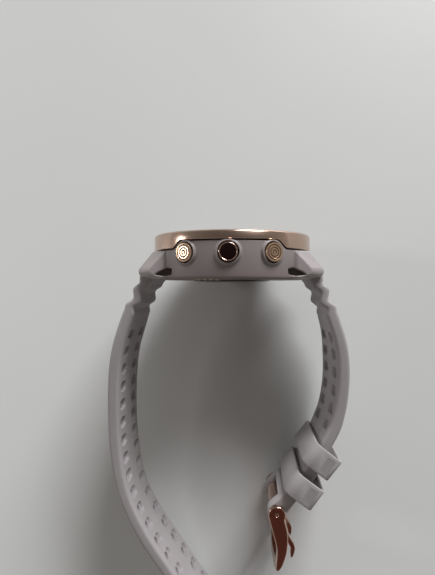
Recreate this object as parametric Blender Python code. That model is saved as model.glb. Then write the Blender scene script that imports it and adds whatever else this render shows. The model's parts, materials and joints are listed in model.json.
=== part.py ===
"""A golf GPS watch with a two-part strap, lying on its nine o'clock side.

Every shape is worked out in watch coordinates, in millimetres: X points to 12 o'clock, Y out of the
dial and Z to 3 o'clock, with the origin on the case axis at the plane of the case back. One empty,
watch_rest, leans the watch until its case, strap tail and buckle touch the surface under it.
"""

import math

import bmesh
import bpy
from mathutils import Matrix, Vector

MM = 0.001

# How the watch lies: the lean from the upright case, and the height of the case axis.
REST_PITCH_DEG = 6.9253
REST_ROLL_DEG = 2.8775
REST_LIFT = 22.4216
REST_SHIFT_X = 0.7047
REST_SHIFT_Y = 47.8416

# Case.
CASE_RADIUS = 22.7
CASE_BACK_EDGE_RADIUS = 22.2
CASE_TOP = 8.05
GUARD_TOP = 10.15
GUARD_HALF_ANGLE_DEG = 33.5
GUARD_BLEND_DEG = 9.0
CAVITY_RADIUS = 17.6
SHELF_RADIUS = 16.5
SHELF_TOP = 4.9
REBATE_RADIUS = 19.5
REBATE_DEPTH = 1.65
CASE_STEPS = 48

# Bezel, lens and display.
BEZEL_RADIUS = 23.0
BEZEL_TOP = 12.8
BEZEL_CHAMFER = 0.4
BEZEL_GAP = 0.3
LENS_RADIUS = 20.0
LENS_SEAT = 11.0
LENS_OPENING = 18.4
LENS_CROWN = 13.0
DISPLAY_RADIUS = 17.3

# Lugs and spring bars.
BAR_X = 22.9
BAR_Y = 2.4
BAR_RADIUS = 0.9
BAR_BORE = 0.6
TIP_RADIUS = 0.5
LUG_INNER_Z = 11.3
LUG_OUTER_Z = 14.6
POCKET_RADIUS = 2.6

# Buttons, as degrees from 3 o'clock towards 12 o'clock.
BUTTON_ANGLES = {"lower_button": -30.5, "select_button": 0.0, "upper_button": 30.5}
BUTTON_Y = 7.1
BUTTON_RADIUS = 2.5
BUTTON_FACE = 23.4
BUTTON_BACK = 21.9
COLLAR_RADIUS = 3.2
COLLAR_FACE = 23.0
STEM_RADIUS = 1.0
STEM_END = 16.6

# Case back.
BACK_RADIUS = 19.2
BACK_TOP = 1.35
WINDOW_RADIUS = 12.0
WINDOW_CROWN = -0.75
SCREW_CIRCLE = 18.2
SCREW_ANGLES = (45, 135, 225, 315)
CONTACT_Z = 15.2
CONTACT_FIRST_X = -8.4
CONTACT_PITCH = 1.7

# Strap halves. Each route is the middle of the strap's thickness, from its spring bar outwards.
STRAP_HALF_THICKNESS = 1.6
STRAP_EYE_RADIUS = 2.2
STRAP_HALF_WIDTH = 11.0
STRAP_TAIL_HALF_WIDTH = 9.8
LONG_ROUTE = (
    (-22.9, 2.4), (-25.5, -2.6), (-29.5, -11.0), (-32.7, -22.0), (-33.6, -35.0), (-33.1, -49.0),
    (-30.7, -61.4), (-25.4, -72.7), (-18.0, -83.5), (-9.6, -95.3), (-0.5, -105.9), (4.0, -110.4),
)
SHORT_ROUTE = (
    (22.9, 2.4), (25.2, -2.6), (28.6, -11.0), (31.1, -20.0), (31.4, -30.0), (29.8, -39.6),
    (26.8, -46.1), (22.8, -53.1), (18.0, -59.4), (13.0, -64.8),
)
HOLE_PITCH = 5.35
HOLE_Z = 5.4
FIRST_HOLE = 19.6
LAST_HOLE_TO_TIP = 9.0
SHORT_RECESSES = 6

# The strap's wave beside the lugs: its height and length, and how far along it its first crest is.
WAVE_HEIGHT = 0.62
WAVE_LENGTH = 5.4
WAVE_CREST = 6.1

# How far each half leans in towards the wrist at its lower edge: the most, then the stretch over which the
# lean comes and the stretch over which it goes again.
LONG_LEAN = (0.8, (8.0, 20.0), (56.0, 76.0))
SHORT_LEAN = (1.5, (12.0, 28.0), (46.0, 58.0))

# Keepers on the short half: distance from its spring bar, offset out of the strap, and lean in degrees.
KEEPERS = {"keeper_upper": (54.9, 0.3, -8.0), "keeper_lower": (64.4, 1.1, 3.0)}
KEEPER_LENGTH = 6.5
KEEPER_WALL = 1.0
KEEPER_HALF_DEPTH = 4.5
KEEPER_HALF_WIDTH = 12.25

# Buckle.
PIN_X = 13.0
PIN_Y = -64.8
PIN_RADIUS = 0.9
PIN_HALF_LENGTH = 12.3
KNUCKLE_RADIUS = 2.6
NOTCH_HALF_WIDTH = 7.1
CHEEK_INNER_Z = 10.6
CHEEK_OUTER_Z = 12.2
BAR_BOW = 0.8
PRONG_HALF_WIDTH = 1.0
HUB_HALF_WIDTH = 6.8
HUB_RADIUS = 1.9

RUNNING_GAP = 0.1


# ---------------------------------------------------------------- tools

def smoothstep(value):
    value = min(1.0, max(0.0, value))
    return value * value * (3.0 - 2.0 * value)


def frame(origin, along, across=(0.0, 1.0, 0.0)):
    """A matrix whose Z runs along a direction, placed at origin."""
    z_axis = Vector(along).normalized()
    x_axis = Vector(across).cross(z_axis).normalized()
    y_axis = z_axis.cross(x_axis)
    matrix = Matrix((x_axis, y_axis, z_axis)).transposed().to_4x4()
    matrix.translation = Vector(origin)
    return matrix


CASE_AXIS = frame((0.0, 0.0, 0.0), (0.0, 1.0, 0.0), (1.0, 0.0, 0.0))


def bridge(bm, rings):
    """Quads between each ring and the next; a ring of one vertex is a pole."""
    for first, second in zip(rings, rings[1:]):
        count = max(len(first), len(second))
        for i in range(count):
            j = (i + 1) % count
            corners = [first[i % len(first)], first[j % len(first)]]
            corners += [second[j % len(second)], second[i % len(second)]]
            unique = []
            for corner in corners:
                if corner not in unique:
                    unique.append(corner)
            if len(unique) > 2:
                bm.faces.new(unique)


def turned(bm, profile, axis=CASE_AXIS, segments=32):
    """A turned solid: profile holds (radius, height) pairs, and joins up if it never meets the axis."""
    rings = []
    for radius, height in profile:
        if radius == 0.0:
            rings.append([bm.verts.new(axis @ Vector((0.0, 0.0, height)))])
            continue
        ring = []
        for i in range(segments):
            turn = 2.0 * math.pi * i / segments
            ring.append(bm.verts.new(axis @ Vector((radius * math.cos(turn), radius * math.sin(turn), height))))
        rings.append(ring)
    if len(rings[0]) > 1:
        rings.append(rings[0])
    bridge(bm, rings)


def ring_with_step(bm, profile_at, angles):
    """A ring about the case axis whose (radius, height) profile changes with the angle."""
    sections = []
    for angle in angles:
        turn = math.radians(angle)
        section = []
        for radius, height in profile_at(angle):
            section.append(bm.verts.new((radius * math.sin(turn), height, radius * math.cos(turn))))
        sections.append(section)
    sections.append(sections[0])
    bridge(bm, sections)


def loft(bm, sections):
    """A closed solid through sections, lists of points that all have the same length."""
    rings = [[bm.verts.new(point) for point in section] for section in sections]
    bridge(bm, rings)
    bm.faces.new(rings[0])
    bm.faces.new(rings[-1])


def plate(bm, outline, low_z, high_z):
    """An outline in X and Y, extruded between two heights in Z."""
    loft(bm, [[(x, y, z) for x, y in outline] for z in (low_z, high_z)])


def block(bm, low, high):
    outline = ((low[0], low[1]), (high[0], low[1]), (high[0], high[1]), (low[0], high[1]))
    plate(bm, outline, low[2], high[2])


def arc(centre, radius, start_deg, end_deg, steps):
    points = []
    for i in range(steps + 1):
        turn = math.radians(start_deg + (end_deg - start_deg) * i / steps)
        points.append((centre[0] + radius * math.cos(turn), centre[1] + radius * math.sin(turn)))
    return points


def rounded_rectangle(half_x, half_y, radius, steps=2):
    points = []
    for sign_x, sign_y, start in ((1, 1, 0), (-1, 1, 90), (-1, -1, 180), (1, -1, 270)):
        centre = (sign_x * (half_x - radius), sign_y * (half_y - radius))
        points += arc(centre, radius, start, start + 90, steps)
    return points


class Route:
    """A smooth curve in X and Y through its points, read by distance from its start."""

    STEPS = 40

    def __init__(self, points):
        ends = [tuple(2 * a - b for a, b in zip(points[0], points[1]))]
        ends += list(points)
        ends.append(tuple(2 * a - b for a, b in zip(points[-1], points[-2])))
        knots = [Vector(point) for point in ends]
        self.points = []
        for a, b, c, d in zip(knots, knots[1:], knots[2:], knots[3:]):
            for i in range(self.STEPS):
                t = i / self.STEPS
                self.points.append(0.5 * (2 * b + (c - a) * t + (2 * a - 5 * b + 4 * c - d) * t ** 2
                                          + (3 * b - 3 * c + d - a) * t ** 3))
        self.points.append(knots[-2])
        self.distances = [0.0]
        for a, b in zip(self.points, self.points[1:]):
            self.distances.append(self.distances[-1] + (b - a).length)
        self.length = self.distances[-1]

    def at(self, distance):
        """The point and the unit direction at a distance, carried on straight past either end."""
        i = 0
        while i < len(self.points) - 2 and self.distances[i + 1] < distance:
            i += 1
        step = self.points[i + 1] - self.points[i]
        share = (distance - self.distances[i]) / step.length
        return self.points[i] + step * share, step.normalized()

    def cross_frame(self, distance, side):
        """X along the route, Y out of the strap's outer face, Z across the strap."""
        point, along = self.at(distance)
        out = Vector((along.y, -along.x)) * side
        matrix = Matrix.Identity(4)
        matrix.col[0] = (along.x, along.y, 0.0, 0.0)
        matrix.col[1] = (out.x, out.y, 0.0, 0.0)
        matrix.col[3] = (point.x, point.y, 0.0, 1.0)
        return matrix


LONG = Route(LONG_ROUTE)
SHORT = Route(SHORT_ROUTE)
LONG_SIDE = 1.0
SHORT_SIDE = -1.0


def new_material(name, colour, roughness, metallic):
    made = bpy.data.materials.new(name)
    made.use_nodes = True
    made.diffuse_color = (*colour, 1.0)
    shader = made.node_tree.nodes["Principled BSDF"]
    shader.inputs["Base Color"].default_value = (*colour, 1.0)
    shader.inputs["Roughness"].default_value = roughness
    shader.inputs["Metallic"].default_value = metallic
    return made


MATERIALS = {
    "case_polymer": ((0.235, 0.220, 0.222), 0.45, 0.0),
    "rose_gold": ((0.560, 0.400, 0.310), 0.30, 1.0),
    "strap_silicone": ((0.215, 0.200, 0.200), 0.60, 0.0),
    "dark_glass": ((0.010, 0.010, 0.012), 0.06, 0.0),
    "black_disc": ((0.015, 0.008, 0.008), 0.08, 0.0),
    "seal_rubber": ((0.020, 0.020, 0.020), 0.80, 0.0),
    "steel": ((0.600, 0.600, 0.610), 0.30, 1.0),
    "gold_contact": ((0.800, 0.620, 0.300), 0.25, 1.0),
    "circuit_board": ((0.020, 0.110, 0.060), 0.50, 0.0),
    "black_plastic": ((0.030, 0.030, 0.032), 0.50, 0.0),
    "battery_foil": ((0.420, 0.430, 0.450), 0.35, 0.8),
    "ceramic": ((0.700, 0.660, 0.580), 0.60, 0.0),
}


def finish(name, bm, material, origin=(0.0, 0.0, 0.0), helper=False):
    """Makes the object of a mesh drawn in watch millimetres, with its own origin."""
    bmesh.ops.triangulate(bm, faces=bm.faces)
    bmesh.ops.recalc_face_normals(bm, faces=bm.faces)
    bmesh.ops.translate(bm, verts=bm.verts, vec=-Vector(origin))
    bmesh.ops.scale(bm, verts=bm.verts, vec=(MM, MM, MM))
    mesh = bpy.data.meshes.new(name)
    bm.to_mesh(mesh)
    bm.free()
    mesh.shade_smooth()
    mesh.set_sharp_from_angle(angle=math.radians(30))
    made = bpy.data.objects.new(name, mesh)
    bpy.context.scene.collection.objects.link(made)
    made.parent = bpy.data.objects["watch_rest"]
    made.location = Vector(origin) * MM
    if helper:
        made.hide_render = True
        made.display_type = "WIRE"
    else:
        colour, roughness, metallic = MATERIALS[material]
        mesh.materials.append(new_material(name + "_" + material, colour, roughness, metallic))
    return made


def boolean(target, other, operation):
    modifier = target.modifiers.new(other.name, "BOOLEAN")
    modifier.operation = operation
    modifier.solver = "EXACT"
    modifier.object = other


# ---------------------------------------------------------------- case

def case_angles():
    """Angles round the case, closer together where the button guard rises."""
    angles = [360.0 * i / CASE_STEPS - 180.0 for i in range(CASE_STEPS)]
    angles = [angle for angle in angles if not 0.0 < abs(angle) - GUARD_HALF_ANGLE_DEG < GUARD_BLEND_DEG]
    for i in range(6):
        for sign in (-1, 1):
            angles.append(sign * (GUARD_HALF_ANGLE_DEG + GUARD_BLEND_DEG * i / 5))
    return sorted(angles)


def guard_share(angle):
    """1 over the button guard, 0 away from it."""
    return 1.0 - smoothstep((abs(angle) - GUARD_HALF_ANGLE_DEG) / GUARD_BLEND_DEG)


def case_top(angle):
    return CASE_TOP + (GUARD_TOP - CASE_TOP) * guard_share(angle)


def case_profile(angle):
    top = case_top(angle)
    return ((CASE_BACK_EDGE_RADIUS, 0.0), (CASE_RADIUS, 0.7), (CASE_RADIUS, top), (CAVITY_RADIUS, top),
            (CAVITY_RADIUS, SHELF_TOP), (SHELF_RADIUS, SHELF_TOP), (SHELF_RADIUS, REBATE_DEPTH),
            (REBATE_RADIUS, REBATE_DEPTH), (REBATE_RADIUS, 0.0))


def lug_outlines(side):
    """The lug's outline next to the strap, and its smaller outline on the outer flank."""
    tip = arc((24.0, 2.3), 1.6, -70, 35, 4)
    inner = [(17.0, 0.3), (22.0, 0.3)] + tip + [(21.4, 7.9), (17.0, 7.9)]
    outer_tip = arc((20.7, 2.5), 1.3, -70, 35, 4)
    outer = [(13.0, 0.3), (18.5, 0.5)] + outer_tip + [(17.4, 7.9), (13.0, 7.9)]
    return [[(side * x, y) for x, y in outline] for outline in (inner, outer)]


def make_case_body():
    bm = bmesh.new()
    ring_with_step(bm, case_profile, case_angles())
    body = finish("case_body", bm, "case_polymer")

    bm = bmesh.new()
    for side in (-1, 1):
        inner, outer = lug_outlines(side)
        for flank in (-1, 1):
            loft(bm, [[(x, y, flank * LUG_INNER_Z) for x, y in inner],
                      [(x, y, flank * (LUG_INNER_Z + 1.6)) for x, y in inner],
                      [(x, y, flank * LUG_OUTER_Z) for x, y in outer]])
    boolean(body, finish("case_lugs", bm, None, helper=True), "UNION")

    bm = bmesh.new()
    for angle in BUTTON_ANGLES.values():
        turned(bm, ((0.0, 21.5), (COLLAR_RADIUS, 21.5), (COLLAR_RADIUS, COLLAR_FACE - 0.3),
                    (COLLAR_RADIUS - 0.3, COLLAR_FACE), (0.0, COLLAR_FACE)), button_axis(angle), 20)
    boolean(body, finish("button_collars", bm, None, helper=True), "UNION")

    bm = bmesh.new()
    for side in (-1, 1):
        mouth = arc((side * BAR_X, BAR_Y), POCKET_RADIUS, 0, 180, 8)
        mouth += [(side * BAR_X - POCKET_RADIUS, -1.0), (side * BAR_X + POCKET_RADIUS, -1.0)]
        plate(bm, mouth, -LUG_INNER_Z, LUG_INNER_Z)
    boolean(body, finish("strap_pockets", bm, None, helper=True), "DIFFERENCE")

    bm = bmesh.new()
    for angle in BUTTON_ANGLES.values():
        turned(bm, ((0.0, 16.0), (STEM_RADIUS + 0.2, 16.0), (STEM_RADIUS + 0.2, 19.6), (1.65, 19.6),
                    (1.65, 21.0), (BUTTON_RADIUS + 0.25, 21.0), (BUTTON_RADIUS + 0.25, 25.0), (0.0, 25.0)),
               button_axis(angle), 18)
    for angle in SCREW_ANGLES:
        turned(bm, ((0.0, 1.0), (0.7, 1.0), (0.7, 4.4), (0.0, 4.4)), screw_axis(angle), 10)
    for side in (-1, 1):
        for flank in (-1, 1):
            hole = frame((side * BAR_X, BAR_Y, flank * (LUG_INNER_Z - 0.3)), (0.0, 0.0, flank))
            turned(bm, ((0.0, 0.0), (TIP_RADIUS + RUNNING_GAP, 0.0), (TIP_RADIUS + RUNNING_GAP, 1.6),
                        (0.0, 1.6)), hole, 12)
    boolean(body, finish("case_bores", bm, None, helper=True), "DIFFERENCE")


def make_bezel():
    def profile(angle):
        low = case_top(angle) + BEZEL_GAP
        return ((BEZEL_RADIUS, low), (BEZEL_RADIUS, BEZEL_TOP - BEZEL_CHAMFER),
                (BEZEL_RADIUS - BEZEL_CHAMFER, BEZEL_TOP), (LENS_RADIUS + 0.2, BEZEL_TOP),
                (LENS_RADIUS + 0.2, LENS_SEAT), (LENS_OPENING, LENS_SEAT), (LENS_OPENING, low))

    bm = bmesh.new()
    ring_with_step(bm, profile, case_angles())
    finish("bezel", bm, "rose_gold")


def make_display():
    bm = bmesh.new()
    turned(bm, ((0.0, 11.5), (LENS_RADIUS, 11.5), (LENS_RADIUS, 12.6), (LENS_RADIUS - 0.5, 12.8),
                (0.0, LENS_CROWN)), segments=48)
    finish("display_lens", bm, "dark_glass")

    bm = bmesh.new()
    turned(bm, ((LENS_OPENING + 0.3, 11.1), (LENS_RADIUS, 11.1), (LENS_RADIUS, 11.4),
                (LENS_OPENING + 0.3, 11.4)), segments=36)
    finish("lens_gasket", bm, "seal_rubber")

    bm = bmesh.new()
    turned(bm, ((0.0, 9.7), (DISPLAY_RADIUS, 9.7), (DISPLAY_RADIUS, 10.8), (0.0, 10.8)), segments=32)
    finish("display_panel", bm, "dark_glass")

    bm = bmesh.new()
    turned(bm, ((0.0, 9.1), (DISPLAY_RADIUS, 9.1), (DISPLAY_RADIUS, 9.5), (0.0, 9.5)), segments=32)
    finish("display_backplate", bm, "steel")


# ---------------------------------------------------------------- buttons

def button_axis(angle):
    turn = math.radians(angle)
    return frame((0.0, BUTTON_Y, 0.0), (math.sin(turn), 0.0, math.cos(turn)))


def grooved_face():
    """The crown of a side button: rings and grooves round a small centre dot."""
    face = []
    for radius in (1.95, 1.1):
        face += [(radius, BUTTON_FACE), (radius - 0.15, BUTTON_FACE - 0.15), (radius - 0.3, BUTTON_FACE)]
    return face


def dished_face():
    """The crown of the middle button: a rim round a flat disc seat."""
    return [(2.15, BUTTON_FACE), (2.1, BUTTON_FACE - 0.5)]


def make_button(name, angle):
    axis = button_axis(angle)
    origin = axis @ Vector((0.0, 0.0, BUTTON_BACK))
    bm = bmesh.new()
    crown = dished_face() if name == "select_button" else grooved_face()
    stem = [(0.0, STEM_END), (STEM_RADIUS, STEM_END), (STEM_RADIUS, 17.0), (0.65, 17.0), (0.65, 17.5),
            (STEM_RADIUS, 17.5), (STEM_RADIUS, BUTTON_BACK), (BUTTON_RADIUS, BUTTON_BACK),
            (BUTTON_RADIUS, BUTTON_FACE - 0.2), (BUTTON_RADIUS - 0.15, BUTTON_FACE)]
    turned(bm, stem + crown + [(0.0, crown[-1][1])], axis, 18)
    finish(name, bm, "rose_gold", origin)

    bm = bmesh.new()
    turned(bm, ((1.08, 20.15), (1.2, 19.88), (1.45, 19.88), (1.58, 20.15), (1.45, 20.42), (1.2, 20.42)),
           axis, 14)
    finish(name + "_seal", bm, "seal_rubber", origin)

    bm = bmesh.new()
    sections = []
    for inner, outer in zip(arc((0.0, 0.0), 0.75, 35, 325, 10), arc((0.0, 0.0), 1.55, 35, 325, 10)):
        corners = ((*inner, 17.1), (*outer, 17.1), (*outer, 17.4), (*inner, 17.4))
        sections.append([axis @ Vector(corner) for corner in corners])
    loft(bm, sections)
    finish(name + "_clip", bm, "steel", origin)

    bm = bmesh.new()
    turn = math.radians(angle)
    spin = Matrix.Rotation(turn, 4, "Y")
    block(bm, (-1.6, 5.5, 14.3), (1.6, 8.3, 15.4))
    bmesh.ops.transform(bm, matrix=spin, verts=bm.verts)
    finish(name + "_switch", bm, "black_plastic", origin)


def make_select_disc():
    axis = button_axis(BUTTON_ANGLES["select_button"])
    bm = bmesh.new()
    turned(bm, ((0.0, BUTTON_FACE - 0.4), (2.0, BUTTON_FACE - 0.4), (2.0, BUTTON_FACE - 0.1),
                (1.8, BUTTON_FACE), (0.0, BUTTON_FACE + 0.05)), axis, 24)
    finish("select_button_disc", bm, "black_disc", axis @ Vector((0.0, 0.0, BUTTON_BACK)))


# ---------------------------------------------------------------- inside the case

def make_electronics():
    bm = bmesh.new()
    turned(bm, ((0.0, 4.95), (17.2, 4.95), (17.2, 5.45), (0.0, 5.45)), segments=32)
    finish("main_board", bm, "circuit_board")

    bm = bmesh.new()
    block(bm, (-10.0, 2.3, -12.5), (10.0, 4.8, 11.0))
    finish("battery", bm, "battery_foil")

    bm = bmesh.new()
    block(bm, (-5.5, 5.5, -2.0), (5.5, 7.2, 9.0))
    finish("shield_can", bm, "steel")

    bm = bmesh.new()
    block(bm, (7.0, 5.5, -9.0), (13.0, 8.8, 1.0))
    finish("gps_antenna", bm, "ceramic")

    motor = frame((-9.5, 0.0, -8.0), (0.0, 1.0, 0.0), (1.0, 0.0, 0.0))
    bm = bmesh.new()
    turned(bm, ((0.0, 5.5), (4.0, 5.5), (4.0, 8.2), (3.7, 8.5), (0.0, 8.5)), motor, 24)
    finish("vibration_motor", bm, "steel")

    bm = bmesh.new()
    block(bm, (-4.5, 5.5, -14.5), (4.5, 8.0, -5.5))
    finish("buzzer", bm, "black_plastic")

    bm = bmesh.new()
    turned(bm, ((0.0, 1.5), (9.0, 1.5), (9.0, 2.1), (0.0, 2.1)), segments=32)
    finish("sensor_board", bm, "circuit_board")


# ---------------------------------------------------------------- case back

def screw_axis(angle):
    turn = math.radians(angle)
    centre = (SCREW_CIRCLE * math.sin(turn), 0.0, SCREW_CIRCLE * math.cos(turn))
    return frame(centre, (0.0, 1.0, 0.0), (1.0, 0.0, 0.0))


def contact_axis(index):
    centre = (CONTACT_FIRST_X + CONTACT_PITCH * index, 0.0, CONTACT_Z)
    return frame(centre, (0.0, 1.0, 0.0), (1.0, 0.0, 0.0))


def make_case_back():
    bm = bmesh.new()
    turned(bm, ((WINDOW_RADIUS + 0.15, 0.05), (WINDOW_RADIUS + 0.15, BACK_TOP), (BACK_RADIUS, BACK_TOP),
                (BACK_RADIUS, 0.35), (BACK_RADIUS - 0.3, 0.05)), segments=48)
    back = finish("case_back", bm, "case_polymer")
    bm = bmesh.new()
    for angle in SCREW_ANGLES:
        turned(bm, ((0.0, -0.5), (1.0, -0.5), (1.0, 0.8), (0.7, 0.8), (0.7, 2.0), (0.0, 2.0)),
               screw_axis(angle), 10)
    for index in range(4):
        turned(bm, ((0.0, -0.5), (0.65, -0.5), (0.65, 2.0), (0.0, 2.0)), contact_axis(index), 8)
    boolean(back, finish("case_back_holes", bm, None, helper=True), "DIFFERENCE")

    bm = bmesh.new()
    turned(bm, ((SHELF_RADIUS + 0.1, 1.4), (17.3, 1.4), (17.3, 1.6), (SHELF_RADIUS + 0.1, 1.6)), segments=32)
    finish("back_gasket", bm, "seal_rubber")

    bm = bmesh.new()
    turned(bm, ((0.0, WINDOW_CROWN), (8.0, WINDOW_CROWN + 0.08), (11.0, WINDOW_CROWN + 0.35),
                (WINDOW_RADIUS, 0.0), (WINDOW_RADIUS, 1.2), (0.0, 1.2)), segments=48)
    finish("sensor_window", bm, "dark_glass")

    for index, angle in enumerate(SCREW_ANGLES):
        bm = bmesh.new()
        turned(bm, ((0.0, 0.35), (0.3, 0.15), (0.9, 0.15), (0.9, 0.7), (0.55, 0.7), (0.55, 4.0), (0.0, 4.2)),
               screw_axis(angle), 10)
        finish(f"case_back_screw_{index + 1}", bm, "steel")
    for index in range(4):
        bm = bmesh.new()
        turned(bm, ((0.0, -0.1), (0.45, -0.1), (0.55, 0.0), (0.55, 1.3), (0.0, 1.3)), contact_axis(index), 10)
        finish(f"charge_contact_{index + 1}", bm, "gold_contact")


# ---------------------------------------------------------------- strap

def wave_share(distance):
    """1 in the wavy stretch beside the lugs, 0 away from it."""
    return smoothstep((distance - 2.6) / 2.4) * (1.0 - smoothstep((distance - 10.6) / 3.0))


def wave(distance):
    """How far the whole strap swings outwards in its wavy stretch."""
    turn = 2.0 * math.pi * (distance - WAVE_CREST) / WAVE_LENGTH
    return WAVE_HEIGHT * wave_share(distance) * math.cos(turn)


def lean_at(distance, lean):
    """How far the lower edge is in towards the wrist."""
    most, (rise_start, rise_end), (fall_start, fall_end) = lean
    rise = smoothstep((distance - rise_start) / (rise_end - rise_start))
    fall = smoothstep((distance - fall_start) / (fall_end - fall_start))
    return most * rise * (1.0 - fall)


def strap_half_thickness(distance, length, knuckle):
    """Half the strap's thickness: an eye round the spring bar, a thinner wave, then an even strap."""
    if distance < 0.0:
        return math.sqrt(max(0.04, STRAP_EYE_RADIUS ** 2 - distance ** 2))
    eye = (STRAP_EYE_RADIUS - STRAP_HALF_THICKNESS) * (1.0 - smoothstep(distance / 4.0))
    half = STRAP_HALF_THICKNESS + eye - 0.3 * wave_share(distance)
    if knuckle:
        past = distance - length
        if past > 0.0:
            return math.sqrt(max(0.04, KNUCKLE_RADIUS ** 2 - past ** 2))
        half += 0.5 * smoothstep(1.0 + (past + 10.0) / 16.0)
        half += (KNUCKLE_RADIUS - STRAP_HALF_THICKNESS - 0.5) * smoothstep(1.0 + past / 6.0)
    return half


def strap_half_width(distance, length, knuckle):
    half = STRAP_HALF_WIDTH
    taper = STRAP_HALF_WIDTH - STRAP_TAIL_HALF_WIDTH
    half -= taper * smoothstep((distance - 10.0) / 50.0)
    if not knuckle:
        past = distance - (length - 7.0)
        if past > 0.0:
            half *= math.sqrt(max(0.12, 1.0 - (past / 7.2) ** 2))
    return half


def strap_distances(length, knuckle):
    """Where the strap's sections go: close together at its ends and bulges, wide apart between."""
    distances = [-2.14, -1.9, -1.4, -0.7, 0.0, 1.2, 2.4]
    distances += [3.4 + 0.9 * i for i in range(11)]
    even_end = length - (7.0 if not knuckle else 6.0)
    count = round((even_end - 14.0) / 4.0)
    distances += [14.0 + (even_end - 14.0) * i / count for i in range(count + 1)]
    if knuckle:
        distances += [length - 4.5, length - 2.9, length - 1.4, length]
        distances += [length + 1.0, length + 1.8, length + 2.3, length + 2.58]
    else:
        distances += [length - 5.2, length - 3.5, length - 2.0, length - 0.9, length]
    return distances


def strap_section(route, side, distance, half_thickness, half_width, lean):
    corner = min(0.7, 0.7 * half_thickness)
    matrix = route.cross_frame(distance, side)
    section = []
    for out, across in rounded_rectangle(half_thickness, half_width, corner, 1):
        share = 0.5 - 0.5 * across / STRAP_HALF_WIDTH
        shift = wave(distance) - lean_at(distance, lean) * share
        section.append(matrix @ Vector((0.0, out + shift, across)))
    return section


def make_strap(name, route, side, lean, knuckle):
    bm = bmesh.new()
    sections = []
    for distance in strap_distances(route.length, knuckle):
        half_thickness = strap_half_thickness(distance, route.length, knuckle)
        half_width = strap_half_width(distance, route.length, knuckle)
        sections.append(strap_section(route, side, distance, half_thickness, half_width, lean))
    loft(bm, sections)
    return finish(name, bm, "strap_silicone", (*route.points[0], 0.0))


def cross_hole(bm, matrix, across, outline, low, high):
    """A cutter through the strap's thickness: outline holds (along, across) pairs."""
    sections = []
    for out in (low, high):
        sections.append([matrix @ Vector((x, out, across + z)) for x, z in outline])
    loft(bm, sections)


def bar_eye(bm, x, y, radius, half_length, segments=12):
    turned(bm, ((0.0, -half_length), (radius, -half_length), (radius, half_length), (0.0, half_length)),
           frame((x, y, 0.0), (0.0, 0.0, 1.0)), segments)


def make_strap_long():
    strap = make_strap("strap_long", LONG, LONG_SIDE, LONG_LEAN, False)
    bm = bmesh.new()
    bar_eye(bm, -BAR_X, BAR_Y, BAR_RADIUS + RUNNING_GAP, 13.0)
    oval = [(1.1 * math.cos(math.radians(a)), 1.55 * math.sin(math.radians(a))) for a in range(0, 360, 60)]
    count = int((LONG.length - LAST_HOLE_TO_TIP - FIRST_HOLE) / HOLE_PITCH) + 1
    for i in range(count):
        matrix = LONG.cross_frame(FIRST_HOLE + HOLE_PITCH * i, LONG_SIDE)
        for across in (-HOLE_Z, HOLE_Z):
            cross_hole(bm, matrix, across, oval, -3.0, 3.0)
    boolean(strap, finish("strap_long_holes", bm, None, helper=True), "DIFFERENCE")


def make_strap_short():
    strap = make_strap("strap_short", SHORT, SHORT_SIDE, SHORT_LEAN, True)
    bm = bmesh.new()
    matrix = SHORT.cross_frame(SHORT.length, SHORT_SIDE)
    corners = ((-3.2, -6.0), (8.0, -6.0), (8.0, 6.0), (-3.2, 6.0))
    sections = []
    for across in (-NOTCH_HALF_WIDTH, NOTCH_HALF_WIDTH):
        sections.append([matrix @ Vector((x, out, across)) for x, out in corners])
    loft(bm, sections)
    boolean(strap, finish("strap_short_notch", bm, None, helper=True), "DIFFERENCE")

    bm = bmesh.new()
    bar_eye(bm, BAR_X, BAR_Y, BAR_RADIUS + RUNNING_GAP, 13.0)
    bar_eye(bm, PIN_X, PIN_Y, PIN_RADIUS + RUNNING_GAP, 13.0)
    outline = rounded_rectangle(1.4, 2.4, 0.6, 1)
    for i in range(SHORT_RECESSES):
        matrix = SHORT.cross_frame(FIRST_HOLE + HOLE_PITCH * i, SHORT_SIDE)
        for across in (-HOLE_Z, HOLE_Z):
            cross_hole(bm, matrix, across, outline, -3.0, -0.4)
    boolean(strap, finish("strap_short_holes", bm, None, helper=True), "DIFFERENCE")


def make_spring_bar(name, side):
    x = side * BAR_X
    bm = bmesh.new()
    axis = frame((x, BAR_Y, 0.0), (0.0, 0.0, 1.0))
    turned(bm, ((BAR_BORE, -10.9), (BAR_RADIUS, -10.9), (BAR_RADIUS, 10.9), (BAR_BORE, 10.9)), axis, 12)
    finish(name, bm, "steel", (x, BAR_Y, 0.0))
    for flank, end in ((-1, "low"), (1, "high")):
        bm = bmesh.new()
        axis = frame((x, BAR_Y, 0.0), (0.0, 0.0, flank))
        turned(bm, ((0.0, 8.6), (TIP_RADIUS, 8.6), (TIP_RADIUS, 12.0), (TIP_RADIUS - 0.15, 12.2), (0.0, 12.2)),
               axis, 12)
        finish(f"{name}_tip_{end}", bm, "steel", (x, BAR_Y, flank * 11.0))


def make_keeper(name, distance, offset, lean):
    matrix = SHORT.cross_frame(distance, SHORT_SIDE) @ Matrix.Translation((0.0, offset, 0.0))
    matrix = matrix @ Matrix.Rotation(math.radians(lean), 4, "Z")
    outer = rounded_rectangle(KEEPER_HALF_DEPTH, KEEPER_HALF_WIDTH, 1.6, 3)
    inner = rounded_rectangle(KEEPER_HALF_DEPTH - KEEPER_WALL, KEEPER_HALF_WIDTH - KEEPER_WALL, 0.6, 3)
    half = KEEPER_LENGTH / 2
    rings = []
    bm = bmesh.new()
    for outline, along in ((outer, -half), (outer, half), (inner, half), (inner, -half)):
        rings.append([bm.verts.new(matrix @ Vector((along, out, across))) for out, across in outline])
    rings.append(rings[0])
    bridge(bm, rings)
    finish(name, bm, "strap_silicone", matrix.translation)


# ---------------------------------------------------------------- buckle

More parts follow.
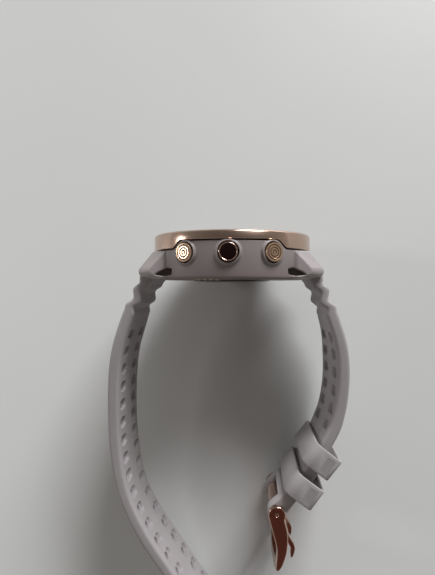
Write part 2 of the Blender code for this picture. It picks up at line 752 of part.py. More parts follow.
def cheek_outline(bow):
    """The buckle's side view; bow moves its inner edge towards the wrist at the end bar."""
    outline = arc((PIN_X, PIN_Y), 2.4, 205, -30, 8)
    outline += [(15.9, -69.5), (16.0, -72.3), (15.7, -75.1), (15.1, -77.2), (14.4, -79.0), (13.4, -80.1)]
    outline += [(12.6 - bow, -79.9), (12.8 - bow, -77.6), (12.9, -74.5), (12.4, -71.7), (11.6, -68.9)]
    return outline


def make_buckle_frame():
    """Two cheeks and a bowed end bar, drawn as one bar with a window cut through it."""
    bm = bmesh.new()
    sections = []
    for share in (-1.0, -0.85, -0.5, 0.0, 0.5, 0.85, 1.0):
        bow = BAR_BOW * (1.0 - share * share)
        sections.append([(x, y, CHEEK_OUTER_Z * share) for x, y in cheek_outline(bow)])
    loft(bm, sections)
    buckle = finish("buckle_frame", bm, "rose_gold", (PIN_X, PIN_Y, 0.0))

    bm = bmesh.new()
    window = ((PIN_X - 8.0, -77.3), (PIN_X + 8.0, -77.3), (PIN_X + 8.0, -60.0), (PIN_X - 8.0, -60.0))
    plate(bm, window, -CHEEK_INNER_Z, CHEEK_INNER_Z)
    boolean(buckle, finish("buckle_window", bm, None, helper=True), "DIFFERENCE")

    bm = bmesh.new()
    for flank in (-1, 1):
        turned(bm, ((0.0, 9.0), (PIN_RADIUS + RUNNING_GAP, 9.0), (PIN_RADIUS + RUNNING_GAP, 13.0), (0.0, 13.0)),
               frame((PIN_X, PIN_Y, 0.0), (0.0, 0.0, flank)), 12)
    boolean(buckle, finish("buckle_pin_holes", bm, None, helper=True), "DIFFERENCE")


def make_buckle_tongue():
    """A hub round the pin with two prongs that reach over the end bar."""
    bm = bmesh.new()
    turned(bm, ((PIN_RADIUS + RUNNING_GAP, -HUB_HALF_WIDTH), (HUB_RADIUS, -HUB_HALF_WIDTH),
                (HUB_RADIUS, HUB_HALF_WIDTH), (PIN_RADIUS + RUNNING_GAP, HUB_HALF_WIDTH)),
           frame((PIN_X, PIN_Y, 0.0), (0.0, 0.0, 1.0)), 18)
    tongue = finish("buckle_tongue", bm, "rose_gold", (PIN_X, PIN_Y, 0.0))
    bm = bmesh.new()
    upper = [(14.2, -65.3), (15.7, -69.0), (16.6, -72.9), (18.1, -75.5), (18.4, -76.8), (18.2, -78.3),
             (17.7, -79.4)]
    lower = [(17.2, -79.0), (17.1, -78.0), (17.2, -76.9), (16.8, -76.0), (15.6, -73.4), (14.7, -69.4),
             (13.6, -66.3)]
    for across in (-HOLE_Z, HOLE_Z):
        plate(bm, upper + lower, across - PRONG_HALF_WIDTH, across + PRONG_HALF_WIDTH)
    boolean(tongue, finish("buckle_prongs", bm, None, helper=True), "UNION")


def make_buckle_pin():
    bm = bmesh.new()
    turned(bm, ((0.0, -PIN_HALF_LENGTH), (PIN_RADIUS, -PIN_HALF_LENGTH), (PIN_RADIUS, PIN_HALF_LENGTH),
                (0.0, PIN_HALF_LENGTH)), frame((PIN_X, PIN_Y, 0.0), (0.0, 0.0, 1.0)), 16)
    finish("buckle_pin", bm, "steel", (PIN_X, PIN_Y, 0.0))


# ---------------------------------------------------------------- the watch

def clear_scene():
    for made in list(bpy.data.objects):
        bpy.data.objects.remove(made, do_unlink=True)


def make_rest():
    rest = bpy.data.objects.new("watch_rest", None)
    bpy.context.scene.collection.objects.link(rest)
    lean = Matrix.Rotation(math.radians(REST_PITCH_DEG), 4, "X")
    roll = Matrix.Rotation(math.radians(REST_ROLL_DEG), 4, "Y")
    place = Matrix.Translation(Vector((REST_SHIFT_X, REST_SHIFT_Y, REST_LIFT)) * MM)
    rest.matrix_world = place @ lean @ roll


def main():
    clear_scene()
    make_rest()
    make_case_body()
    make_bezel()
    make_display()
    for name, angle in BUTTON_ANGLES.items():
        make_button(name, angle)
    make_select_disc()
    make_electronics()
    make_case_back()
    make_strap_long()
    make_strap_short()
    make_spring_bar("spring_bar_12", 1)
    make_spring_bar("spring_bar_6", -1)
    for name, (distance, offset, lean) in KEEPERS.items():
        make_keeper(name, distance, offset, lean)
    make_buckle_frame()
    make_buckle_tongue()
    make_buckle_pin()


main()
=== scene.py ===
"""The looks of the golf GPS watch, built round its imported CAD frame.

Shapes are worked out in watch coordinates, in millimetres: X points to 12 o'clock, Y out of the dial and Z
to 3 o'clock, with the origin on the case axis at the plane of the case back. The strap hinges of the frame
say where those axes lie, and each finished piece is moved into the frame from there.
"""

import json
import math

import bmesh
import bpy
from mathutils import Euler, Matrix, Vector


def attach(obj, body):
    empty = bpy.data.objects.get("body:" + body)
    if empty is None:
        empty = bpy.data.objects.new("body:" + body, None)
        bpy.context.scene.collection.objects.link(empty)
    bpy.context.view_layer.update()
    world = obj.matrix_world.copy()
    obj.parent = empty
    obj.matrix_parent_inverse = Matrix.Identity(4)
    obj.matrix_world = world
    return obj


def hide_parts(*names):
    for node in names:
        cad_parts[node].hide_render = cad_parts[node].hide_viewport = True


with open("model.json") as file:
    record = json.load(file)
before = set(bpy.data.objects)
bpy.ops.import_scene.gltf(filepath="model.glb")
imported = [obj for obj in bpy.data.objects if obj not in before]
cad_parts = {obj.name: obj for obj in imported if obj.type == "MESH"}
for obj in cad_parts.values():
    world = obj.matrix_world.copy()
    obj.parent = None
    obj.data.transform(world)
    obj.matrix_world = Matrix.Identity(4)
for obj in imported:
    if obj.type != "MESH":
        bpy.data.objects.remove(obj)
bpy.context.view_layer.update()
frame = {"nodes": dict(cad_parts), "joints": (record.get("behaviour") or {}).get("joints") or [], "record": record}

MM = 0.001

# Case, bezel and dial.
CASE_RADIUS = 22.7
CASE_FOOT_RADIUS = 22.2
CASE_TOP = 8.05
GUARD_TOP = 10.15
GUARD_HALF_ANGLE_DEG = 33.5
GUARD_BLEND_DEG = 9.0
CAVITY_RADIUS = 17.6
SHELF_RADIUS = 16.5
SHELF_TOP = 4.9
REBATE_RADIUS = 19.5
REBATE_DEPTH = 1.65
CASE_VOXEL = 0.17
BEZEL_RADIUS = 23.0
BEZEL_TOP = 12.8
BEZEL_CHAMFER = 0.4
BEZEL_GAP = 0.3
LENS_RADIUS = 20.0
LENS_SEAT = 11.0
LENS_OPENING = 18.4
LENS_CROWN = 13.0
DISPLAY_RADIUS = 17.3

# Lugs and spring bars.
BAR_X = 22.9
BAR_Y = 2.4
BAR_BORE_RADIUS = 1.0
TIP_BORE_RADIUS = 0.6
LUG_INNER_Z = 11.3
LUG_OUTER_Z = 14.6
POCKET_RADIUS = 2.6

# Buttons, as degrees from 3 o'clock towards 12 o'clock.
BUTTON_ANGLES = {"lower_button": -30.5, "select_button": 0.0, "upper_button": 30.5}
BUTTON_Y = 7.1
BUTTON_RADIUS = 2.5
BUTTON_FACE = 23.4
BUTTON_BACK = 21.9
BUTTON_GROOVE_DEPTH = 0.16
GROOVE_RADII = (1.88, 1.18, 0.48)
COLLAR_RADIUS = 3.3
COLLAR_FACE = 23.0
STEM_RADIUS = 1.0
STEM_END = 16.6

# Case back.
BACK_RADIUS = 19.2
BACK_TOP = 1.35
WINDOW_RADIUS = 12.0
WINDOW_CROWN = -0.75
SCREW_CIRCLE = 18.2
SCREW_ANGLES = (45, 135, 225, 315)
CONTACT_Z = 15.2
CONTACT_FIRST_X = -8.4
CONTACT_PITCH = 1.7

# Strap halves. Each route is the middle of the strap's thickness, from its spring bar outwards.
STRAP_HALF_THICKNESS = 1.6
STRAP_EYE_RADIUS = 2.2
STRAP_HALF_WIDTH = 11.0
STRAP_TAIL_HALF_WIDTH = 9.8
STRAP_EDGE_RADIUS = 0.95
FACE_STEPS = 20
LONG_ROUTE = (
    (-22.9, 2.4), (-25.5, -2.6), (-29.5, -11.0), (-32.7, -22.0), (-33.6, -35.0), (-33.1, -49.0),
    (-30.7, -61.4), (-25.4, -72.7), (-18.0, -83.5), (-9.6, -95.3), (-0.5, -105.9), (4.0, -110.4),
)
SHORT_ROUTE = (
    (22.9, 2.4), (25.2, -2.6), (28.6, -11.0), (31.1, -20.0), (31.4, -30.0), (29.8, -39.6),
    (26.8, -46.1), (22.8, -53.1), (18.0, -59.4), (13.0, -64.8),
)
HOLE_PITCH = 5.35
HOLE_Z = 5.4
FIRST_HOLE = 19.6
LAST_HOLE_TO_TIP = 9.0
SHORT_RECESSES = 6
WAVE_HEIGHT = 0.62
WAVE_LENGTH = 5.4
WAVE_CREST = 6.1
WAVE_SMILE = 0.9
WEAVE_PITCH = 0.5
LONG_LEAN = (0.8, (8.0, 20.0), (56.0, 76.0))
SHORT_LEAN = (1.5, (12.0, 28.0), (46.0, 58.0))

# Keepers on the short half: distance from its spring bar, offset out of the strap, and lean in degrees.
KEEPERS = {"keeper_upper": (54.9, 0.3, -8.0), "keeper_lower": (64.4, 1.1, 3.0)}
KEEPER_LENGTH = 6.5
KEEPER_WALL = 1.0
KEEPER_EASE = 0.08
KEEPER_RIM = 0.28
KEEPER_HALF_DEPTH = 4.5
KEEPER_HALF_WIDTH = 12.25

# Buckle.
PIN_X = 13.0
PIN_Y = -64.8
PIN_RADIUS = 0.9
PIN_HALF_LENGTH = 12.3
PIN_HEAD_RADIUS = 0.62
PIN_STEP = 11.5
KNUCKLE_RADIUS = 2.6
NOTCH_HALF_WIDTH = 7.1
CHEEK_INNER_Z = 10.6
CHEEK_OUTER_Z = 12.2
CHEEK_RIM = 0.3
BAR_BOW = 0.8
PRONG_HALF_WIDTH = 1.0
HUB_HALF_WIDTH = 6.8
HUB_RADIUS = 1.9

# Light: the room's strength at the sides and overhead, and the dark red patch above the buckle.
ROOM_SIDES = 0.37
ROOM_OVERHEAD = 0.13
ROOM_COLOUR = (1.0, 0.97, 0.92, 1.0)
PATCH_COLOUR = (0.42, 0.17, 0.13, 1.0)
PATCH_TOWARD = (0.05, -0.48, 0.87)
LIGHT_AIM = (0.0, -25.0, 0.0)

# Camera: its place in watch millimetres, its turn in degrees, and its lens on a 36 mm sensor.
CAMERA_AT = (5.761, -1.197, 144.361)
CAMERA_TURN_DEG = (0.4, -3.99, -0.07)
CAMERA_LENS = 30.05


# ---- the watch's own axes

def watch_axes():
    """The matrix from watch millimetres to the frame's metres."""
    joints = {joint["name"]: joint for joint in frame["joints"]}
    long_bar = Vector(joints["strap_long_hinge"]["pos_m"])
    short_bar = Vector(joints["strap_short_hinge"]["pos_m"])
    z_axis = Vector(joints["strap_short_hinge"]["axis"]).normalized()
    y_axis = z_axis.cross(short_bar - long_bar).normalized()
    x_axis = y_axis.cross(z_axis)
    origin = (long_bar + short_bar) / 2 - y_axis * BAR_Y * MM
    turn = Matrix((x_axis, y_axis, z_axis)).transposed().to_4x4()
    return Matrix.Translation(origin) @ turn @ Matrix.Scale(MM, 4)


WATCH = watch_axes()
WATCH_TURN = WATCH.to_quaternion().to_matrix()


# ---- curves and outlines

def smoothstep(value):
    value = min(1.0, max(0.0, value))
    return value * value * (3.0 - 2.0 * value)


def arc(centre, radius, start_deg, end_deg, steps):
    points = []
    for i in range(steps + 1):
        turn = math.radians(start_deg + (end_deg - start_deg) * i / steps)
        points.append((centre[0] + radius * math.cos(turn), centre[1] + radius * math.sin(turn)))
    return points


def cornered(half_x, half_y, radii, steps=6):
    """A rectangle with its own radius at each corner: (+x +y), (-x +y), (-x -y) and (+x -y)."""
    points = []
    corners = ((1, 1, 0), (-1, 1, 90), (-1, -1, 180), (1, -1, 270))
    for (sign_x, sign_y, start), radius in zip(corners, radii):
        centre = (sign_x * (half_x - radius), sign_y * (half_y - radius))
        points += arc(centre, radius, start, start + 90, steps)
    return points


def superellipse(half_x, half_y, power, count=28):
    """An oval at power 2 that grows squarer as the power rises."""
    points = []
    for i in range(count):
        turn = 2.0 * math.pi * i / count
        cos, sin = math.cos(turn), math.sin(turn)
        x = half_x * math.copysign(abs(cos) ** (2.0 / power), cos)
        y = half_y * math.copysign(abs(sin) ** (2.0 / power), sin)
        points.append((x, y))
    return points


def inset(outline, amount):
    """The outline moved inwards; it runs anticlockwise."""
    moved = []
    count = len(outline)
    for i, (x, y) in enumerate(outline):
        before, after = outline[i - 1], outline[(i + 1) % count]
        along = Vector((after[0] - before[0], after[1] - before[1])).normalized()
        moved.append((x - along.y * amount, y + along.x * amount))
    return moved


def rounded_rim(radius):
    """(depth, inset) steps of a quarter round, after a narrow flat that keeps the face beside it flat."""
    steps = [(0.0, radius + 0.08)]
    for turn in (0, 22, 45, 68, 90):
        angle = math.radians(turn)
        steps.append((radius * (1.0 - math.cos(angle)), radius * (1.0 - math.sin(angle))))
    return steps


class Route:
    """A smooth curve in X and Y through its points, read by distance from its start."""

    STEPS = 40

    def __init__(self, points):
        ends = [tuple(2 * a - b for a, b in zip(points[0], points[1]))]
        ends += list(points)
        ends.append(tuple(2 * a - b for a, b in zip(points[-1], points[-2])))
        knots = [Vector(point) for point in ends]
        self.points = []
        for a, b, c, d in zip(knots, knots[1:], knots[2:], knots[3:]):
            for i in range(self.STEPS):
                t = i / self.STEPS
                self.points.append(0.5 * (2 * b + (c - a) * t + (2 * a - 5 * b + 4 * c - d) * t ** 2
                                          + (3 * b - 3 * c + d - a) * t ** 3))
        self.points.append(knots[-2])
        self.distances = [0.0]
        for a, b in zip(self.points, self.points[1:]):
            self.distances.append(self.distances[-1] + (b - a).length)
        self.length = self.distances[-1]

    def at(self, distance):
        """The point and the unit direction at a distance, carried on straight past either end."""
        i = 0
        while i < len(self.points) - 2 and self.distances[i + 1] < distance:
            i += 1
        step = self.points[i + 1] - self.points[i]
        share = (distance - self.distances[i]) / step.length
        return self.points[i] + step * share, step.normalized()

    def cross_frame(self, distance, side):
        """X along the route, Y out of the strap's outer face, Z across the strap."""
        point, along = self.at(distance)
        out = Vector((along.y, -along.x)) * side
        matrix = Matrix.Identity(4)
        matrix.col[0] = (along.x, along.y, 0.0, 0.0)
        matrix.col[1] = (out.x, out.y, 0.0, 0.0)
        matrix.col[3] = (point.x, point.y, 0.0, 1.0)
        return matrix

    def even(self, count):
        """Points at even distances along the curve."""
        return [tuple(self.at(self.length * i / (count - 1))[0]) for i in range(count)]


LONG = Route(LONG_ROUTE)
SHORT = Route(SHORT_ROUTE)


def axis_frame(origin, along, across=(0.0, 1.0, 0.0)):
    """A matrix whose Z runs along a direction, placed at origin."""
    z_axis = Vector(along).normalized()
    x_axis = Vector(across).cross(z_axis).normalized()
    y_axis = z_axis.cross(x_axis)
    matrix = Matrix((x_axis, y_axis, z_axis)).transposed().to_4x4()
    matrix.translation = Vector(origin)
    return matrix


CASE_AXIS = axis_frame((0.0, 0.0, 0.0), (0.0, 1.0, 0.0), (1.0, 0.0, 0.0))


def button_axis(angle):
    turn = math.radians(angle)
    return axis_frame((0.0, BUTTON_Y, 0.0), (math.sin(turn), 0.0, math.cos(turn)))


def back_axis(x, z):
    return axis_frame((x, 0.0, z), (0.0, 1.0, 0.0), (1.0, 0.0, 0.0))


def screw_axis(angle):
    turn = math.radians(angle)
    return back_axis(SCREW_CIRCLE * math.sin(turn), SCREW_CIRCLE * math.cos(turn))


# ---- meshes

def bridge(bm, rings):
    """Quads between each ring and the next; a ring of one vertex is a pole."""
    for first, second in zip(rings, rings[1:]):
        count = max(len(first), len(second))
        for i in range(count):
            j = (i + 1) % count
            corners = [first[i % len(first)], first[j % len(first)]]
            corners += [second[j % len(second)], second[i % len(second)]]
            unique = []
            for corner in corners:
                if corner not in unique:
                    unique.append(corner)
            if len(unique) > 2:
                bm.faces.new(unique)


def turned(bm, profile, axis=CASE_AXIS, segments=96):
    """A turned solid: profile holds (radius, height) pairs, and joins up if it never meets the axis."""
    rings = []
    for radius, height in profile:
        if radius == 0.0:
            rings.append([bm.verts.new(axis @ Vector((0.0, 0.0, height)))])
            continue
        ring = []
        for i in range(segments):
            turn = 2.0 * math.pi * i / segments
            spot = Vector((radius * math.cos(turn), radius * math.sin(turn), height))
            ring.append(bm.verts.new(axis @ spot))
        rings.append(ring)
    if len(rings[0]) > 1:
        rings.append(rings[0])
    bridge(bm, rings)


def ring_with_step(bm, profile_at, steps):
    """A ring about the case axis whose (radius, height) profile changes with the angle."""
    sections = []
    for i in range(steps):
        angle = 360.0 * i / steps - 180.0
        turn = math.radians(angle)
        section = []
        for radius, height in profile_at(angle):
            section.append(bm.verts.new((radius * math.sin(turn), height, radius * math.cos(turn))))
        sections.append(section)
    sections.append(sections[0])
    bridge(bm, sections)


def loft(bm, sections):
    """A closed solid through sections, lists of points that all have the same length."""
    rings = [[bm.verts.new(point) for point in section] for section in sections]
    bridge(bm, rings)
    bm.faces.new(rings[0])
    bm.faces.new(rings[-1])


def plate(bm, outline, low_z, high_z):
    """An outline in X and Y, extruded between two heights in Z."""
    loft(bm, [[(x, y, z) for x, y in outline] for z in (low_z, high_z)])


def drawn(name, bm):
    """An object, still in watch millimetres, of a mesh."""
    bmesh.ops.recalc_face_normals(bm, faces=bm.faces)
    mesh = bpy.data.meshes.new(name)
    bm.to_mesh(mesh)
    bm.free()
    made = bpy.data.objects.new(name, mesh)
    bpy.context.scene.collection.objects.link(made)
    return made


def boolean(target, operation, bm):
    """Adds or takes away the solids in bm."""
    other = drawn("tool", bm)
    modifier = target.modifiers.new("tool", "BOOLEAN")
    modifier.operation = operation
    modifier.solver = "EXACT"
    modifier.object = other
    settle(target)
    bpy.data.objects.remove(other, do_unlink=True)


def settle(made):
    """Turns the object's modifiers into its mesh."""
    graph = bpy.context.evaluated_depsgraph_get()
    graph.update()
    mesh = bpy.data.meshes.new_from_object(made.evaluated_get(graph))
    made.modifiers.clear()
    made.data = mesh


def place(made, body, slot, replaced=(), sharp_deg=32.0, finish=None):
    """Moves a finished piece into the frame, and says what it rides on and stands for."""
    made.data.transform(WATCH)
    made.data.shade_smooth()
    made.data.set_sharp_from_angle(angle=math.radians(sharp_deg))
    made.data.materials.clear()
    made.data.materials.append(finish or MATERIALS[slot])
    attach(made, body)
    if replaced:
        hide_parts(*replaced)


# ---- materials

def colour_sockets(sockets):
    return [socket for socket in sockets if socket.type == "RGBA"]


class Finish:
    """A Principled material with helpers that wire its nodes."""

    def __init__(self, name, colour, roughness, metallic=0.0):
        self.material = bpy.data.materials.new(name)
        self.material.use_nodes = True
        self.tree = self.material.node_tree
        self.shader = self.tree.nodes["Principled BSDF"]
        self.shader.inputs["Base Color"].default_value = (*colour, 1.0)
        self.shader.inputs["Roughness"].default_value = roughness
        self.shader.inputs["Metallic"].default_value = metallic
        self.colour = colour
        self.millimetres = self.watch_coordinates()

    def node(self, kind, **settings):
        made = self.tree.nodes.new(kind)
        for key, value in settings.items():
            setattr(made, key, value)
        return made

    def link(self, source, target):
        self.tree.links.new(source, target)

    def watch_coordinates(self):
        """Object coordinates turned back into watch millimetres."""
        source = self.node("ShaderNodeTexCoord")
        mapping = self.node("ShaderNodeMapping")
        inverse = WATCH.inverted()
        mapping.inputs["Location"].default_value = inverse.translation
        mapping.inputs["Rotation"].default_value = inverse.to_quaternion().to_euler()
        mapping.inputs["Scale"].default_value = (1.0 / MM,) * 3
        self.link(source.outputs["Object"], mapping.inputs["Vector"])
        return mapping.outputs["Vector"]

    def noise(self, scale, detail=2.0, stretch=(1.0, 1.0, 1.0), vector=None):
        """Noise with features 1/scale millimetres wide."""
        stretched = self.node("ShaderNodeVectorMath", operation="MULTIPLY")
        stretched.inputs[1].default_value = stretch
        self.link(vector or self.millimetres, stretched.inputs[0])
        made = self.node("ShaderNodeTexNoise")
        made.inputs["Scale"].default_value = scale
        made.inputs["Detail"].default_value = detail
        self.link(stretched.outputs[0], made.inputs["Vector"])
        return made.outputs["Fac"]

    def math(self, operation, first, second=None):
        made = self.node("ShaderNodeMath", operation=operation)
        for socket, value in zip(made.inputs, (first, second)):
            if isinstance(value, (int, float)):
                socket.default_value = value
            elif value is not None:
                self.link(value, socket)
        return made.outputs[0]

    def ranged(self, value, low, high, from_low=0.3, from_high=0.7):
        made = self.node("ShaderNodeMapRange")
        keys = ("From Min", "From Max", "To Min", "To Max")
        for key, number in zip(keys, (from_low, from_high, low, high)):
            made.inputs[key].default_value = number
        self.link(value, made.inputs["Value"])
        return made.outputs["Result"]

    def tint(self, factor, other):
        """Mixes the base colour towards another one."""
        mix = self.node("ShaderNodeMix", data_type="RGBA")
        sockets = colour_sockets(mix.inputs)
        current = self.shader.inputs["Base Color"]
        if current.is_linked:
            self.link(current.links[0].from_socket, sockets[0])
        else:
            sockets[0].default_value = (*self.colour, 1.0)
        sockets[1].default_value = (*other, 1.0)
        self.link(factor, mix.inputs["Factor"])
        self.link(colour_sockets(mix.outputs)[0], current)

    def mottle(self, scale, detail, most, other):
        """Clouds of another colour, up to a share of it."""
        self.tint(self.ranged(self.noise(scale, detail), 0.0, most), other)

    def rough(self, factor, low, high):
        self.link(self.ranged(factor, low, high), self.shader.inputs["Roughness"])

    def bump(self, height, depth_mm, strength=1.0):
        """Raises the surface by the height, in millimetres of depth; calls add up."""
        made = self.node("ShaderNodeBump")
        made.inputs["Strength"].default_value = strength
        made.inputs["Distance"].default_value = depth_mm * MM
        self.link(height, made.inputs["Height"])
        current = self.shader.inputs["Normal"]
        if current.is_linked:
            self.link(current.links[0].from_socket, made.inputs["Normal"])
        self.link(made.outputs["Normal"], current)

    def axes(self):
        """The three watch coordinates apart."""
        made = self.node("ShaderNodeSeparateXYZ")
        self.link(self.millimetres, made.inputs[0])
        return made.outputs[0], made.outputs[1], made.outputs[2]

    def length(self, first, second):
        """The distance that two coordinates at right angles make."""
        squares = [self.math("MULTIPLY", value, value) for value in (first, second)]
        return self.math("SQRT", self.math("ADD", *squares))

    def set(self, **values):
        for key, value in values.items():
            self.shader.inputs[key.replace("_", " ")].default_value = value
        return self


def strap_silicone():
    made = Finish("strap_silicone", (0.335, 0.31, 0.316), 0.55)
    made.mottle(0.12, 3.0, 0.5, (0.30, 0.285, 0.285))
    made.mottle(2.4, 2.0, 0.25, (0.40, 0.375, 0.385))
    made.rough(made.noise(0.5, 3.0), 0.48, 0.64)
    weave = made.node("ShaderNodeUVMap", uv_map="strap_mm")
    parts = made.node("ShaderNodeSeparateXYZ")
    made.link(weave.outputs[0], parts.inputs[0])
    threads = [made.math("SINE", made.math("MULTIPLY", parts.outputs[index], 2.0 * math.pi / WEAVE_PITCH))
               for index in (0, 1)]
    made.bump(made.math("MULTIPLY", threads[0], threads[1]), 0.006, 0.6)
    made.bump(made.noise(5.0, 2.0), 0.03, 0.6)
    return made.set(Specular_IOR_Level=0.4, Sheen_Weight=0.08, Sheen_Roughness=0.5)


def case_polymer():
    made = Finish("case_polymer", (0.36, 0.325, 0.33), 0.42)
    made.mottle(0.15, 3.0, 0.45, (0.33, 0.30, 0.30))
    # Painted shade: the colour is darkened on the case's side wall, most towards the case back, standing in for
    # the shade under the bezel; parts further out than the wall, such as the lug ends, keep the plain colour.
    x, y, z = made.axes()
    radius = made.length(x, z)
    wall = made.ranged(radius, 1.0, 0.0, CASE_RADIUS + 0.35, CASE_RADIUS + 0.9)
    made.tint(made.math("MULTIPLY", wall, made.ranged(y, 0.85, 0.35, 0.0, CASE_TOP)), (0.17, 0.135, 0.13))
    made.rough(made.noise(0.8, 3.0), 0.34, 0.48)
    made.bump(made.noise(7.0, 3.0), 0.02, 0.7)
    return made.set(Specular_IOR_Level=0.5)


def bezel_metal():
    """Rose gold, turned: fine lines run round the case axis."""
    made = Finish("bezel_metal", (0.57, 0.41, 0.33), 0.2, 1.0)
    x, y, z = made.axes()
    radius = made.length(x, z)
    lines = made.node("ShaderNodeCombineXYZ")
    made.link(made.math("MULTIPLY", radius, 14.0), lines.inputs[0])
    made.link(made.math("MULTIPLY", y, 14.0), lines.inputs[1])
    made.link(made.math("MULTIPLY", made.math("ARCTAN2", x, z), 1.2), lines.inputs[2])
    brushed = made.noise(1.0, 4.0, vector=lines.outputs[0])
    made.rough(brushed, 0.15, 0.27)
    made.bump(brushed, 0.012, 0.6)
    made.mottle(0.2, 2.0, 0.4, (0.50, 0.35, 0.28))
    tangent = made.node("ShaderNodeTangent", direction_type="RADIAL", axis="Y")
    made.link(tangent.outputs[0], made.shader.inputs["Tangent"])
    return made.set(Anisotropic=0.6, Anisotropic_Rotation=0.25)


def polished_metal():
    """Polished rose gold, with the faint scratches of wear."""
    made = Finish("polished_metal", (0.74, 0.53, 0.44), 0.12, 1.0)
    made.mottle(0.3, 2.0, 0.5, (0.66, 0.45, 0.36))
    made.rough(made.noise(3.0, 4.0, (1.0, 0.15, 1.0)), 0.08, 0.2)
    made.bump(made.noise(9.0, 3.0, (1.0, 0.1, 1.0)), 0.004, 0.5)
    return made


def button_metal():
    """The side buttons' paler gold, turned."""
    made = Finish("button_metal", (0.83, 0.62, 0.44), 0.2, 1.0)
    made.rough(made.noise(6.0, 3.0), 0.14, 0.28)
    made.bump(made.noise(14.0, 2.0), 0.004, 0.5)
    return made


def groove_shade_paint():
    """Painted shade: a darker finish in the side buttons' grooves, standing in for the shade at their bottoms."""
    made = Finish("groove_shade_paint", (0.16, 0.085, 0.055), 0.5, 0.6)
    made.rough(made.noise(6.0, 3.0), 0.42, 0.6)
    made.bump(made.noise(14.0, 2.0), 0.006, 0.5)
    return made


def lens_glass():
    made = Finish("lens_glass", (0.015, 0.015, 0.018), 0.04)
    made.rough(made.noise(0.25, 3.0), 0.03, 0.07)
    made.mottle(0.1, 2.0, 0.5, (0.02, 0.021, 0.026))
    x, _, z = made.axes()
    radius = made.length(x, z)
    border = made.ranged(radius, 0.0, 1.0, DISPLAY_RADIUS - 0.1, DISPLAY_RADIUS + 0.1)
    made.tint(border, (0.004, 0.004, 0.005))
    return made.set(Coat_Weight=0.6, Coat_Roughness=0.02)


def sensor_glass():
    """Dark glass over the pulse sensor, with its paler windows set about the middle."""
    made = Finish("sensor_glass", (0.012, 0.012, 0.014), 0.06)
    x, _, z = made.axes()
    for centre_x, centre_z, radius, colour in (
        (0.0, 3.9, 1.5, (0.10, 0.12, 0.05)), (0.0, -3.9, 1.5, (0.10, 0.12, 0.05)),
        (4.4, 0.0, 1.9, (0.07, 0.03, 0.03)), (-4.4, 0.0, 1.9, (0.07, 0.03, 0.03)),
        (0.0, 0.0, 1.1, (0.05, 0.06, 0.09)),
    ):
        off_x = made.math("SUBTRACT", x, centre_x)
        off_z = made.math("SUBTRACT", z, centre_z)
        made.tint(made.ranged(made.length(off_x, off_z), 1.0, 0.0, radius - 0.08, radius + 0.08), colour)
    made.rough(made.noise(0.3, 3.0), 0.04, 0.1)
    return made.set(Specular_IOR_Level=0.3)


def display_black():
    made = Finish("display_black", (0.008, 0.008, 0.01), 0.12)
    made.mottle(0.3, 2.0, 0.5, (0.012, 0.012, 0.016))
    return made


def button_black():
    made = Finish("button_black", (0.008, 0.003, 0.003), 0.07)
    made.mottle(0.5, 2.0, 0.6, (0.02, 0.005, 0.005))
    made.rough(made.noise(2.0, 3.0), 0.05, 0.12)
    return made.set(Specular_IOR_Level=0.15)


def seal_rubber():
    made = Finish("seal_rubber", (0.02, 0.02, 0.02), 0.75)
    made.bump(made.noise(4.0, 2.0), 0.02, 0.5)
    made.rough(made.noise(1.0, 2.0), 0.65, 0.85)
    return made


def steel():
    made = Finish("steel", (0.62, 0.61, 0.60), 0.28, 1.0)
    made.rough(made.noise(4.0, 3.0, (1.0, 1.0, 0.2)), 0.2, 0.38)
    made.bump(made.noise(12.0, 2.0, (1.0, 1.0, 0.1)), 0.005, 0.5)
    return made


def contact_gold():
    made = Finish("contact_gold", (0.93, 0.76, 0.42), 0.2, 1.0)
    made.rough(made.noise(5.0, 3.0), 0.15, 0.3)
    return made


def circuit_board():
    made = Finish("circuit_board", (0.02, 0.11, 0.06), 0.45)
    made.tint(made.ranged(made.noise(1.5, 1.0), 0.0, 1.0, 0.5, 0.56), (0.04, 0.17, 0.09))
    made.bump(made.noise(2.0, 1.0), 0.03, 0.5)
    return made


def black_plastic():
    made = Finish("black_plastic", (0.03, 0.03, 0.032), 0.5)
    made.rough(made.noise(2.0, 3.0), 0.42, 0.6)
    made.bump(made.noise(6.0, 2.0), 0.02, 0.5)
    return made


def battery_foil():
    made = Finish("battery_foil", (0.42, 0.43, 0.45), 0.35, 0.8)
    made.rough(made.noise(0.8, 3.0), 0.28, 0.45)
    made.bump(made.noise(0.6, 3.0), 0.1, 0.5)
    return made


def antenna_ceramic():
    made = Finish("antenna_ceramic", (0.70, 0.66, 0.58), 0.6)
    made.mottle(3.0, 3.0, 0.5, (0.60, 0.56, 0.48))
    return made


def make_materials():
    """The finish of every material slot; each maker is named after its slot."""
    makers = (strap_silicone, case_polymer, bezel_metal, lens_glass, sensor_glass, display_black,
              button_black, seal_rubber, steel, contact_gold, circuit_board, black_plastic, battery_foil,
              antenna_ceramic)
    return {maker.__name__: maker().material for maker in makers}


MATERIALS = make_materials()
POLISHED = polished_metal().material
BUTTON_METAL = button_metal().material
# Painted shade for the side buttons' grooves.
GROOVE_SHADE_PAINT = groove_shade_paint().material


def dress_frame():
    """Gives every CAD node the finish of its material slot."""
    for part in frame["record"]["subparts"]:
        node = frame["nodes"][part["node"]]
        node.data.materials.clear()
        node.data.materials.append(MATERIALS[part["material_slot"]])


# ---- case

def guard_share(angle):
    """1 over the button guard, 0 away from it."""
    return 1.0 - smoothstep((abs(angle) - GUARD_HALF_ANGLE_DEG) / GUARD_BLEND_DEG)


def case_top(angle):
    return CASE_TOP + (GUARD_TOP - CASE_TOP) * guard_share(angle)


